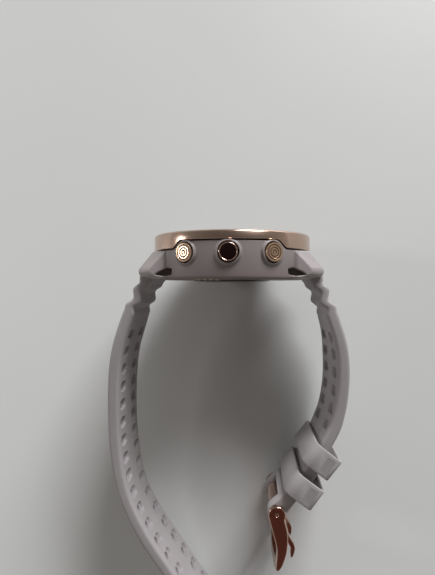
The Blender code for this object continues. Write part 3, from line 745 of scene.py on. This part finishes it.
def case_profile(angle):
    top = case_top(angle)
    foot = arc((CASE_FOOT_RADIUS - 0.9, 0.9), 0.9, -90, 0, 4)
    brow = arc((CASE_RADIUS - 0.3, top - 0.3), 0.3, 0, 90, 3)
    inside = [(CAVITY_RADIUS, top), (CAVITY_RADIUS, SHELF_TOP), (SHELF_RADIUS, SHELF_TOP),
              (SHELF_RADIUS, REBATE_DEPTH), (REBATE_RADIUS, REBATE_DEPTH), (REBATE_RADIUS, 0.0)]
    return foot + brow + inside


def lug_sections(side, flank):
    """The lug from the strap outwards: full beside the strap, smaller on its sloping outer flank."""
    inner = [(17.0, 0.3), (22.0, 0.3)] + arc((24.0, 2.3), 1.6, -70, 35, 8) + [(21.4, 7.9), (17.0, 7.9)]
    outer = [(13.0, 0.3), (18.5, 0.5)] + arc((20.7, 2.5), 1.3, -70, 35, 8) + [(17.4, 7.9), (13.0, 7.9)]
    heights = ((inner, LUG_INNER_Z), (inner, LUG_INNER_Z + 0.9), (outer, LUG_OUTER_Z))
    return [[(side * x, y, flank * z) for x, y in outline] for outline, z in heights]


def lug_scoops(bm):
    """The dark wedge-shaped scoop under each lug, beside the case back."""
    outline = ((20.7, 1.35), (19.3, 2.2), (17.0, 3.05), (15.7, 2.7), (15.9, 1.5), (17.8, 1.15))
    for side in (-1, 1):
        for flank in (-1, 1):
            sections = []
            for z, grow in ((12.3, 0.0), (16.2, 0.35)):
                sections.append([(side * (x + grow * (x - 17.8) / 3.0), y + grow * (y - 1.9) / 1.2, flank * z)
                                 for x, y in outline])
            loft(bm, sections)


def make_case():
    bm = bmesh.new()
    ring_with_step(bm, case_profile, 180)
    shell = drawn("case_shell", bm)

    bm = bmesh.new()
    for side in (-1, 1):
        for flank in (-1, 1):
            loft(bm, lug_sections(side, flank))
    boolean(shell, "UNION", bm)

    bm = bmesh.new()
    for angle in BUTTON_ANGLES.values():
        turned(bm, ((0.0, 21.4), (COLLAR_RADIUS + 0.35, 21.4), (COLLAR_RADIUS + 0.05, COLLAR_FACE - 0.35),
                    (COLLAR_RADIUS - 0.25, COLLAR_FACE), (0.0, COLLAR_FACE)), button_axis(angle), 48)
    boolean(shell, "UNION", bm)

    bm = bmesh.new()
    for side in (-1, 1):
        mouth = arc((side * BAR_X, BAR_Y), POCKET_RADIUS, 0, 180, 16)
        mouth += [(side * BAR_X - POCKET_RADIUS, -1.0), (side * BAR_X + POCKET_RADIUS, -1.0)]
        plate(bm, mouth, -LUG_INNER_Z, LUG_INNER_Z)
    boolean(shell, "DIFFERENCE", bm)

    bm = bmesh.new()
    lug_scoops(bm)
    boolean(shell, "DIFFERENCE", bm)

    bm = bmesh.new()
    for angle in BUTTON_ANGLES.values():
        turned(bm, ((0.0, 16.0), (STEM_RADIUS + 0.2, 16.0), (STEM_RADIUS + 0.2, 19.6), (1.65, 19.6),
                    (1.65, 21.0), (BUTTON_RADIUS + 0.3, 21.0), (BUTTON_RADIUS + 0.3, 25.0), (0.0, 25.0)),
               button_axis(angle), 48)
    for side in (-1, 1):
        for flank in (-1, 1):
            hole = axis_frame((side * BAR_X, BAR_Y, flank * (LUG_INNER_Z - 0.3)), (0.0, 0.0, flank))
            turned(bm, ((0.0, 0.0), (TIP_BORE_RADIUS, 0.0), (TIP_BORE_RADIUS, 1.6), (0.0, 1.6)), hole, 24)
    boolean(shell, "DIFFERENCE", bm)

    remesh = shell.modifiers.new("mould", "REMESH")
    remesh.mode = "VOXEL"
    remesh.voxel_size = CASE_VOXEL
    soften = shell.modifiers.new("soften", "SMOOTH")
    soften.factor = 0.5
    soften.iterations = 4
    fewer = shell.modifiers.new("fewer", "DECIMATE")
    fewer.ratio = 0.35
    settle(shell)
    place(shell, "watch_case", "case_polymer", ["case_body"], sharp_deg=60.0)


def make_bezel():
    chamfer_y = BEZEL_TOP - BEZEL_CHAMFER
    chamfer_radius = BEZEL_RADIUS - BEZEL_CHAMFER

    def profile(angle):
        low = case_top(angle) + BEZEL_GAP
        return ((BEZEL_RADIUS - 0.12, low), (BEZEL_RADIUS, low + 0.12), (BEZEL_RADIUS, chamfer_y - 0.1),
                (BEZEL_RADIUS - 0.08, chamfer_y + 0.04), (chamfer_radius + 0.08, BEZEL_TOP - 0.07),
                (chamfer_radius - 0.06, BEZEL_TOP), (LENS_RADIUS + 0.45, BEZEL_TOP),
                (LENS_RADIUS + 0.2, BEZEL_TOP - 0.2), (LENS_RADIUS + 0.2, LENS_SEAT),
                (LENS_OPENING, LENS_SEAT), (LENS_OPENING, low))

    bm = bmesh.new()
    ring_with_step(bm, profile, 288)
    place(drawn("bezel_ring", bm), "watch_case", "bezel_metal", ["bezel"])


def make_dial():
    bm = bmesh.new()
    turned(bm, ((0.0, 11.5), (LENS_RADIUS, 11.5), (LENS_RADIUS, 12.55), (LENS_RADIUS - 0.15, 12.7),
                (LENS_RADIUS - 0.6, 12.8), (14.0, 12.93), (7.0, LENS_CROWN - 0.01), (0.0, LENS_CROWN)),
           segments=192)
    place(drawn("dial_glass", bm), "watch_case", "lens_glass", ["display_lens"])


# ---- buttons

def grooved_crown():
    """Flat rings between grooves, from the rim inwards to a small centre dot."""
    face = []
    half_groove = ((0.22, 0.0), (0.19, 0.03), (0.17, BUTTON_GROOVE_DEPTH))
    for middle in GROOVE_RADII:
        face += [(middle + across, BUTTON_FACE - depth) for across, depth in half_groove]
        face += [(middle - across, BUTTON_FACE - depth) for across, depth in reversed(half_groove)]
    return face + [(0.0, BUTTON_FACE)]


def groove_floors(name, angle):
    """Painted shade laid in the grooves: a darker finish that stands in for their shade and sets the rings apart.
    """
    bm = bmesh.new()
    low = BUTTON_FACE - BUTTON_GROOVE_DEPTH - 0.03
    high = BUTTON_FACE - BUTTON_GROOVE_DEPTH + 0.06
    for middle in GROOVE_RADII:
        turned(bm, ((middle - 0.2, low), (middle - 0.2, high), (middle + 0.2, high), (middle + 0.2, low)),
               button_axis(angle), 64)
    place(drawn(name + "_grooves", bm), name, "bezel_metal", finish=GROOVE_SHADE_PAINT)


def ring_crown():
    """A rounded rim round the seat of the dark disc."""
    rim = arc((2.3, BUTTON_FACE - 0.16), 0.16, 20, 180, 6)
    return rim + [(2.14, BUTTON_FACE - 0.5), (0.0, BUTTON_FACE - 0.5)]


def make_buttons():
    for name, angle in BUTTON_ANGLES.items():
        stem = [(0.0, STEM_END), (STEM_RADIUS, STEM_END), (STEM_RADIUS, 17.0), (0.65, 17.0), (0.65, 17.5),
                (STEM_RADIUS, 17.5), (STEM_RADIUS, BUTTON_BACK), (BUTTON_RADIUS, BUTTON_BACK),
                (BUTTON_RADIUS, BUTTON_FACE - 0.2), (BUTTON_RADIUS - 0.06, BUTTON_FACE - 0.05)]
        middle = name == "select_button"
        bm = bmesh.new()
        turned(bm, stem + (ring_crown() if middle else grooved_crown()), button_axis(angle), 64)
        place(drawn(name + "_crown", bm), name, "bezel_metal", [name], 40.0,
              POLISHED if middle else BUTTON_METAL)
        if not middle:
            groove_floors(name, angle)

    bm = bmesh.new()
    turned(bm, ((0.0, BUTTON_FACE - 0.4), (2.08, BUTTON_FACE - 0.4), (2.08, BUTTON_FACE - 0.2),
                (1.98, BUTTON_FACE - 0.13), (1.5, BUTTON_FACE - 0.09), (0.0, BUTTON_FACE - 0.06)),
           button_axis(BUTTON_ANGLES["select_button"]), 64)
    place(drawn("select_button_inlay", bm), "select_button", "button_black", ["select_button_disc"])


# ---- case back

def make_case_back():
    bm = bmesh.new()
    turned(bm, ((WINDOW_RADIUS + 0.15, 0.2), (WINDOW_RADIUS + 0.15, BACK_TOP), (BACK_RADIUS, BACK_TOP),
                (BACK_RADIUS, 0.35), (BACK_RADIUS - 0.1, 0.13), (BACK_RADIUS - 0.35, 0.05), (13.4, 0.05),
                (13.2, 0.12), (13.0, 0.05), (WINDOW_RADIUS + 0.3, 0.05)), segments=192)
    back = drawn("case_back_cover", bm)
    bm = bmesh.new()
    for angle in SCREW_ANGLES:
        turned(bm, ((0.0, -0.5), (1.12, -0.5), (1.0, 0.12), (1.0, 0.8), (0.7, 0.8), (0.7, 2.0), (0.0, 2.0)),
               screw_axis(angle), 32)
    for index in range(4):
        turned(bm, ((0.0, -0.5), (0.75, -0.5), (0.65, 0.1), (0.65, 2.0), (0.0, 2.0)),
               back_axis(CONTACT_FIRST_X + CONTACT_PITCH * index, CONTACT_Z), 24)
    boolean(back, "DIFFERENCE", bm)
    place(back, "watch_case", "case_polymer", ["case_back"])

    bm = bmesh.new()
    turned(bm, ((0.0, WINDOW_CROWN), (4.0, WINDOW_CROWN + 0.02), (8.0, WINDOW_CROWN + 0.08),
                (10.0, WINDOW_CROWN + 0.2), (11.2, WINDOW_CROWN + 0.42), (11.8, -0.15), (WINDOW_RADIUS, 0.05),
                (WINDOW_RADIUS, 1.2), (0.0, 1.2)), segments=192)
    place(drawn("sensor_dome", bm), "watch_case", "sensor_glass", ["sensor_window"])

    for index, angle in enumerate(SCREW_ANGLES):
        bm = bmesh.new()
        turned(bm, ((0.0, 0.15), (0.75, 0.15), (0.88, 0.24), (0.9, 0.7), (0.55, 0.7), (0.55, 4.0),
                    (0.0, 4.2)), screw_axis(angle), 48)
        screw = drawn(f"back_screw_{index + 1}", bm)
        bm = bmesh.new()
        star = [0.36 + 0.1 * math.cos(6 * math.radians(turn)) for turn in range(0, 360, 10)]
        outline = [(radius * math.cos(math.radians(10 * i)), radius * math.sin(math.radians(10 * i)))
                   for i, radius in enumerate(star)]
        axis = screw_axis(angle)
        loft(bm, [[axis @ Vector((x, y, height)) for x, y in outline] for height in (-0.2, 0.5)])
        boolean(screw, "DIFFERENCE", bm)
        place(screw, "watch_case", "steel", [f"case_back_screw_{index + 1}"])


# ---- strap

def wave_share(distance):
    """1 in the wavy stretch beside the lugs, 0 away from it."""
    return smoothstep((distance - 2.6) / 2.4) * (1.0 - smoothstep((distance - 10.6) / 3.0))


def wave(distance, across):
    """How far the strap swings outwards in its wavy stretch; its crests bow away from the lug."""
    smile = WAVE_SMILE * (1.0 - (across / STRAP_HALF_WIDTH) ** 2)
    turn = 2.0 * math.pi * (distance - smile - WAVE_CREST) / WAVE_LENGTH
    return WAVE_HEIGHT * wave_share(distance) * math.cos(turn)


def lean_at(distance, lean):
    """How far the lower edge is in towards the wrist."""
    most, (rise_start, rise_end), (fall_start, fall_end) = lean
    rise = smoothstep((distance - rise_start) / (rise_end - rise_start))
    fall = smoothstep((distance - fall_start) / (fall_end - fall_start))
    return most * rise * (1.0 - fall)


class Half:
    """One half of the strap: its route, its outer side, its lean, and whether it ends in knuckles."""

    def __init__(self, route, side, lean, knuckle):
        self.route = route
        self.side = side
        self.lean = lean
        self.knuckle = knuckle

    def half_thickness(self, distance):
        if distance < 0.0:
            return math.sqrt(max(0.0, STRAP_EYE_RADIUS ** 2 - distance ** 2))
        eye = (STRAP_EYE_RADIUS - STRAP_HALF_THICKNESS) * (1.0 - smoothstep(distance / 4.0))
        half = STRAP_HALF_THICKNESS + eye - 0.3 * wave_share(distance)
        if self.knuckle:
            past = distance - self.route.length
            if past > 0.0:
                return math.sqrt(max(0.0, KNUCKLE_RADIUS ** 2 - past ** 2))
            half += 0.5 * smoothstep(1.0 + (past + 10.0) / 16.0)
            half += (KNUCKLE_RADIUS - STRAP_HALF_THICKNESS - 0.5) * smoothstep(1.0 + past / 6.0)
        return half

    def half_width(self, distance):
        half = STRAP_HALF_WIDTH
        half -= (STRAP_HALF_WIDTH - STRAP_TAIL_HALF_WIDTH) * smoothstep((distance - 10.0) / 50.0)
        if not self.knuckle:
            past = distance - (self.route.length - 7.0)
            if past > 0.0:
                half *= math.sqrt(max(0.02, 1.0 - (past / 7.2) ** 2))
        return half

    def shift(self, distance, across):
        share = 0.5 - 0.5 * across / STRAP_HALF_WIDTH
        return wave(distance, across) - lean_at(distance, self.lean) * share

    def distances(self):
        """Stations along the strap, closer together at its wave and its round ends."""
        found = [-STRAP_EYE_RADIUS * math.cos(math.radians(a)) for a in range(6, 90, 12)]
        found += [0.4 * i for i in range(37)]
        even_end = self.route.length - (7.0 if not self.knuckle else 6.0)
        count = round((even_end - 15.0) / 0.9)
        found += [15.0 + (even_end - 15.0) * i / count for i in range(count + 1)]
        if self.knuckle:
            found += [even_end + 0.5 * i for i in range(1, 13)]
            found += [self.route.length + KNUCKLE_RADIUS * math.sin(math.radians(a))
                      for a in range(12, 90, 12)]
        else:
            found += [even_end + 6.98 * math.sin(math.radians(a)) for a in range(8, 91, 8)]
        return found

    def thick(self, distance):
        """The half thickness, kept off zero at the round ends."""
        return max(0.12, self.half_thickness(distance))

    def outline(self, distance):
        """(out, across) points round the section: flat faces and round edges."""
        thick = self.thick(distance)
        wide = self.half_width(distance)
        edge = min(STRAP_EDGE_RADIUS, 0.85 * thick)
        points = []
        for sign_out, sign_across, start in ((1, 1, 0), (-1, 1, 90), (-1, -1, 180), (1, -1, 270)):
            centre = (sign_out * (thick - edge), sign_across * (wide - edge))
            points += arc(centre, edge, start, start + 90, 6)
            if start in (90, 270):
                flat = sign_across * (wide - edge)
                points += [(sign_out * thick, flat * (1.0 - 2.0 * i / FACE_STEPS))
                           for i in range(1, FACE_STEPS)]
        return points

    def surface(self, bm):
        """The skin's rings, with a map of distance along and round the strap in millimetres."""
        layer = bm.loops.layers.uv.new("strap_mm")
        where = {}
        rings = []
        for distance in self.distances():
            matrix = self.route.cross_frame(distance, self.side)
            ring = []
            thick = self.thick(distance)
            for out, across in self.outline(distance):
                vertex = bm.verts.new(matrix @ Vector((0.0, out + self.shift(distance, across), across)))
                where[vertex] = (distance, across + math.copysign(thick - abs(out), across))
                ring.append(vertex)
            rings.append(ring)
        bridge(bm, rings)
        bm.faces.new(rings[0])
        bm.faces.new(rings[-1])
        for face in bm.faces:
            for loop in face.loops:
                loop[layer].uv = where[loop.vert]

    def cutter(self, bm, distance, across, levels):
        """A hole's cutter: levels hold (out, half along, half across, squareness)."""
        matrix = self.route.cross_frame(distance, self.side)
        sections = []
        for out, half_along, half_across, power in levels:
            section = []
            for x, z in superellipse(half_along, half_across, power):
                shift = self.shift(distance, across + z)
                section.append(matrix @ Vector((x, out + shift, across + z)))
            sections.append(section)
        loft(bm, sections)


POCKET = ((-3.2, 2.1, 3.1, 3.0), (-1.72, 1.72, 2.72, 3.0), (-1.45, 1.5, 2.5, 3.2), (-0.75, 1.3, 2.3, 3.2))
THROUGH = ((-0.7, 1.05, 1.5, 2.2), (1.3, 1.05, 1.5, 2.2), (1.55, 1.14, 1.6, 2.2), (3.0, 1.9, 2.3, 2.2))
RECESS = POCKET[:3] + ((-0.6, 1.3, 2.3, 3.2),)


def bar_bore(bm, x, y):
    turned(bm, ((0.0, -13.0), (BAR_BORE_RADIUS, -13.0), (BAR_BORE_RADIUS, 13.0), (0.0, 13.0)),
           axis_frame((x, y, 0.0), (0.0, 0.0, 1.0)), 32)


def make_strap_long():
    half = Half(LONG, 1.0, LONG_LEAN, False)
    bm = bmesh.new()
    half.surface(bm)
    strap = drawn("strap_long_skin", bm)
    bm = bmesh.new()
    bar_bore(bm, -BAR_X, BAR_Y)
    count = int((LONG.length - LAST_HOLE_TO_TIP - FIRST_HOLE) / HOLE_PITCH) + 1
    for i in range(count):
        for across in (-HOLE_Z, HOLE_Z):
            half.cutter(bm, FIRST_HOLE + HOLE_PITCH * i, across, POCKET + THROUGH)
    boolean(strap, "DIFFERENCE", bm)
    place(strap, "strap_long", "strap_silicone", ["strap_long"])


def make_strap_short():
    half = Half(SHORT, -1.0, SHORT_LEAN, True)
    bm = bmesh.new()
    half.surface(bm)
    strap = drawn("strap_short_skin", bm)
    bm = bmesh.new()
    matrix = SHORT.cross_frame(SHORT.length, -1.0)
    corners = cornered(5.6, 6.0, (0.6, 1.2, 1.2, 0.6), 4)
    loft(bm, [[matrix @ Vector((x + 2.4, out, across)) for x, out in corners]
              for across in (-NOTCH_HALF_WIDTH, NOTCH_HALF_WIDTH)])
    boolean(strap, "DIFFERENCE", bm)
    bm = bmesh.new()
    for x, y in ((BAR_X, BAR_Y), (PIN_X, PIN_Y)):
        bar_bore(bm, x, y)
    for i in range(SHORT_RECESSES):
        for across in (-HOLE_Z, HOLE_Z):
            half.cutter(bm, FIRST_HOLE + HOLE_PITCH * i, across, RECESS)
    boolean(strap, "DIFFERENCE", bm)
    place(strap, "strap_short", "strap_silicone", ["strap_short"])


def make_keepers():
    half_length = KEEPER_LENGTH / 2
    wall = KEEPER_WALL - KEEPER_EASE
    rim = KEEPER_RIM
    for name, (distance, offset, lean) in KEEPERS.items():
        matrix = SHORT.cross_frame(distance, -1.0) @ Matrix.Translation((0.0, offset, 0.0))
        matrix = matrix @ Matrix.Rotation(math.radians(lean), 4, "Z")
        outer = cornered(KEEPER_HALF_DEPTH, KEEPER_HALF_WIDTH, (1.1, 3.0, 3.0, 1.1), 10)
        inner = cornered(KEEPER_HALF_DEPTH - wall, KEEPER_HALF_WIDTH - wall, (0.5, 1.6, 1.6, 0.5), 10)
        bm = bmesh.new()
        layer = bm.loops.layers.uv.new("strap_mm")
        rings = []
        for outline, along, amount in (
            (outer, -half_length, rim), (outer, -half_length + rim * 0.3, rim * 0.3),
            (outer, -half_length + rim, 0.0), (outer, half_length - rim, 0.0),
            (outer, half_length - rim * 0.3, rim * 0.3), (outer, half_length, rim),
            (inner, half_length, -0.15), (inner, half_length - 0.15, 0.0),
            (inner, -half_length + 0.15, 0.0), (inner, -half_length, -0.15),
        ):
            points = inset(outline, amount)
            rings.append([bm.verts.new(matrix @ Vector((along, out, across))) for out, across in points])
        rings.append(rings[0])
        bridge(bm, rings)
        for face in bm.faces:
            for loop in face.loops:
                spot = matrix.inverted() @ loop.vert.co
                loop[layer].uv = (spot.x, spot.z + spot.y)
        loop_piece = drawn(name + "_loop", bm)
        bm = bmesh.new()
        for index in range(4):
            out = 0.9 + 0.62 * index
            for flank in (-1, 1):
                ends = sorted((flank * (KEEPER_HALF_WIDTH - 0.14), flank * (KEEPER_HALF_WIDTH + 0.6)))
                outline = superellipse(2.3, 0.13, 3.0, 16)
                loft(bm, [[matrix @ Vector((x, out + y, across)) for x, y in outline] for across in ends])
        boolean(loop_piece, "DIFFERENCE", bm)
        place(loop_piece, name, "strap_silicone", [name])


# ---- buckle

def cheek_outline(bow):
    """The buckle's side view, anticlockwise; bow moves its inner edge towards the wrist at the end bar."""
    right = Route(((15.1, -66.1), (15.9, -69.5), (16.0, -72.3), (15.7, -75.1), (15.1, -77.2), (14.4, -79.0),
                   (13.75, -79.9))).even(24)
    left = Route(((12.65 - bow, -79.75), (12.8 - bow, -77.6), (12.95 - 0.6 * bow, -74.5), (12.4, -71.7),
                  (11.6, -68.9), (10.95, -66.4))).even(24)
    tip = arc((13.2 - bow / 2, -79.7), 0.55 + bow / 2, -30, -150, 6)
    top = arc((PIN_X, PIN_Y), 2.4, 218, -33, 26)
    return list(reversed(right + tip[1:-1] + left + top[1:-1]))


def make_buckle_frame():
    """Two cheeks and a bowed end bar, drawn as one bar with a window cut through it."""
    bm = bmesh.new()
    rim = rounded_rim(CHEEK_RIM)
    levels = [(depth - CHEEK_OUTER_Z, amount) for depth, amount in rim]
    levels += [(z, 0.0) for z in (-10.0, -7.5, -5.0, -2.5, 0.0, 2.5, 5.0, 7.5, 10.0)]
    levels += [(CHEEK_OUTER_Z - depth, amount) for depth, amount in reversed(rim)]
    sections = []
    for z, amount in levels:
        bow = BAR_BOW * (1.0 - (z / CHEEK_OUTER_Z) ** 2)
        outline = cheek_outline(bow)
        outline = list(reversed(inset(outline, amount)))
        sections.append([(x, y, z) for x, y in outline])
    loft(bm, sections)
    buckle = drawn("buckle_bow", bm)
    bm = bmesh.new()
    window = cornered(8.0, CHEEK_INNER_Z, (1.2, 1.2, 1.2, 1.2), 6)
    loft(bm, [[(PIN_X + out, -77.3 if low else -60.0, across) for out, across in window] for low in (1, 0)])
    boolean(buckle, "DIFFERENCE", bm)
    bm = bmesh.new()
    for flank in (-1, 1):
        turned(bm, ((0.0, 9.0), (BAR_BORE_RADIUS, 9.0), (BAR_BORE_RADIUS, PIN_STEP + 0.05),
                    (0.68, PIN_STEP + 0.05), (0.68, 13.0), (0.0, 13.0)),
               axis_frame((PIN_X, PIN_Y, 0.0), (0.0, 0.0, flank)), 48)
    boolean(buckle, "DIFFERENCE", bm)
    place(buckle, "buckle_frame", "bezel_metal", ["buckle_frame"], finish=POLISHED)


def make_buckle_tongue():
    """A hub round the pin with two prongs that reach over the end bar."""
    bm = bmesh.new()
    turned(bm, ((BAR_BORE_RADIUS, -HUB_HALF_WIDTH), (HUB_RADIUS - 0.25, -HUB_HALF_WIDTH),
                (HUB_RADIUS, -HUB_HALF_WIDTH + 0.25), (HUB_RADIUS, HUB_HALF_WIDTH - 0.25),
                (HUB_RADIUS - 0.25, HUB_HALF_WIDTH), (BAR_BORE_RADIUS, HUB_HALF_WIDTH)),
           axis_frame((PIN_X, PIN_Y, 0.0), (0.0, 0.0, 1.0)), 64)
    tongue = drawn("buckle_prongs", bm)
    upper = Route(((14.2, -65.3), (15.7, -69.0), (16.6, -72.9), (18.1, -75.5), (18.4, -76.8), (18.2, -78.3),
                   (17.75, -79.35))).even(26)
    lower = Route(((17.15, -79.1), (17.1, -78.0), (17.2, -76.9), (16.8, -76.0), (15.6, -73.4), (14.7, -69.4),
                   (13.6, -66.3))).even(26)
    outline = upper + arc((17.45, -79.2), 0.32, -30, -150, 4)[1:-1] + lower
    rim = rounded_rim(0.16)
    bm = bmesh.new()
    for across in (-HOLE_Z, HOLE_Z):
        sections = []
        levels = [(depth - PRONG_HALF_WIDTH, amount) for depth, amount in rim]
        levels += [(PRONG_HALF_WIDTH - depth, amount) for depth, amount in reversed(rim)]
        for z, amount in levels:
            moved = inset(list(reversed(outline)), amount)
            sections.append([(x, y, across + z) for x, y in moved])
        loft(bm, sections)
    boolean(tongue, "UNION", bm)
    place(tongue, "buckle_tongue", "bezel_metal", ["buckle_tongue"], finish=POLISHED)


def make_buckle_pin():
    head = [(0.0, PIN_HALF_LENGTH - 0.16), (0.42, PIN_HALF_LENGTH - 0.16), (0.55, PIN_HALF_LENGTH - 0.24),
            (PIN_HEAD_RADIUS, PIN_HALF_LENGTH - 0.4), (PIN_HEAD_RADIUS, PIN_STEP), (PIN_RADIUS, PIN_STEP)]
    profile = [(radius, -height) for radius, height in head] + list(reversed(head))
    bm = bmesh.new()
    turned(bm, profile, axis_frame((PIN_X, PIN_Y, 0.0), (0.0, 0.0, 1.0)), 48)
    place(drawn("buckle_pin_bar", bm), "strap_short", "steel", ["buckle_pin"], finish=POLISHED)


# ---- scene

def make_floor():
    bm = bmesh.new()
    bmesh.ops.create_grid(bm, x_segments=2, y_segments=2, size=3.0)
    floor = drawn("table", bm)
    table = Finish("table_top", (0.68, 0.69, 0.685), 0.5)
    table.mottle(0.02, 3.0, 0.4, (0.65, 0.66, 0.655))
    table.bump(table.noise(1.5, 3.0), 0.02, 0.3)
    floor.data.materials.append(table.material)


def make_light(name, toward, distance, size, watts, colour):
    """A soft light that shines on the watch from a direction in watch axes."""
    data = bpy.data.lights.new(name, "AREA")
    data.shape = "RECTANGLE"
    data.size, data.size_y = size
    data.energy = watts
    data.color = colour
    light = bpy.data.objects.new(name, data)
    aim = WATCH @ Vector(LIGHT_AIM)
    back = (WATCH_TURN @ Vector(toward)).normalized()
    light.location = aim + back * distance
    light.rotation_mode = "QUATERNION"
    light.rotation_quaternion = back.to_track_quat("Z", "Y")
    bpy.context.scene.collection.objects.link(light)


def make_world():
    """A room that is darker overhead than it is round the sides, with a dark red patch above the buckle."""
    world = bpy.data.worlds.new("room")
    world.use_nodes = True
    tree = world.node_tree
    background = tree.nodes["Background"]
    where = tree.nodes.new("ShaderNodeTexCoord")
    parts = tree.nodes.new("ShaderNodeSeparateXYZ")
    fade = tree.nodes.new("ShaderNodeMapRange")
    fade.inputs["To Min"].default_value = ROOM_SIDES
    fade.inputs["To Max"].default_value = ROOM_OVERHEAD
    toward = tree.nodes.new("ShaderNodeVectorMath")
    toward.operation = "DOT_PRODUCT"
    toward.inputs[1].default_value = (WATCH_TURN @ Vector(PATCH_TOWARD)).normalized()
    edge = tree.nodes.new("ShaderNodeMapRange")
    edge.interpolation_type = "SMOOTHSTEP"
    edge.inputs["From Min"].default_value = 0.86
    edge.inputs["From Max"].default_value = 0.97
    colour = tree.nodes.new("ShaderNodeMix")
    colour.data_type = "RGBA"
    ends = colour_sockets(colour.inputs)
    ends[0].default_value = ROOM_COLOUR
    ends[1].default_value = PATCH_COLOUR
    tree.links.new(where.outputs["Generated"], parts.inputs[0])
    tree.links.new(where.outputs["Generated"], toward.inputs[0])
    tree.links.new(parts.outputs["Z"], fade.inputs["Value"])
    tree.links.new(toward.outputs["Value"], edge.inputs["Value"])
    tree.links.new(edge.outputs["Result"], colour.inputs["Factor"])
    tree.links.new(colour_sockets(colour.outputs)[0], background.inputs["Color"])
    tree.links.new(fade.outputs["Result"], background.inputs["Strength"])
    bpy.context.scene.world = world


def make_camera():
    data = bpy.data.cameras.new("camera")
    data.sensor_width = 36.0
    data.lens = CAMERA_LENS
    data.clip_start = 0.01
    data.clip_end = 10.0
    camera = bpy.data.objects.new("camera", data)
    turn = Euler([math.radians(angle) for angle in CAMERA_TURN_DEG], "XYZ").to_matrix()
    facing = (WATCH_TURN @ turn.transposed()).to_4x4()
    camera.matrix_world = Matrix.Translation(WATCH @ Vector(CAMERA_AT)) @ facing
    bpy.context.scene.collection.objects.link(camera)
    bpy.context.scene.camera = camera


def make_scene():
    make_floor()
    make_world()
    make_light("window", (0.36, 0.88, 0.33), 2.0, (0.95, 0.7), 54.0, (0.99, 0.995, 1.0))
    make_light("lamp", (-0.95, 0.15, 0.26), 0.7, (0.11, 0.12), 0.8, (1.0, 0.98, 0.95))
    make_camera()
    bpy.context.scene.view_settings.view_transform = "Standard"


dress_frame()
make_case()
make_bezel()
make_dial()
make_buttons()
make_case_back()
make_strap_long()
make_strap_short()
make_keepers()
make_buckle_frame()
make_buckle_tongue()
make_buckle_pin()
make_scene()
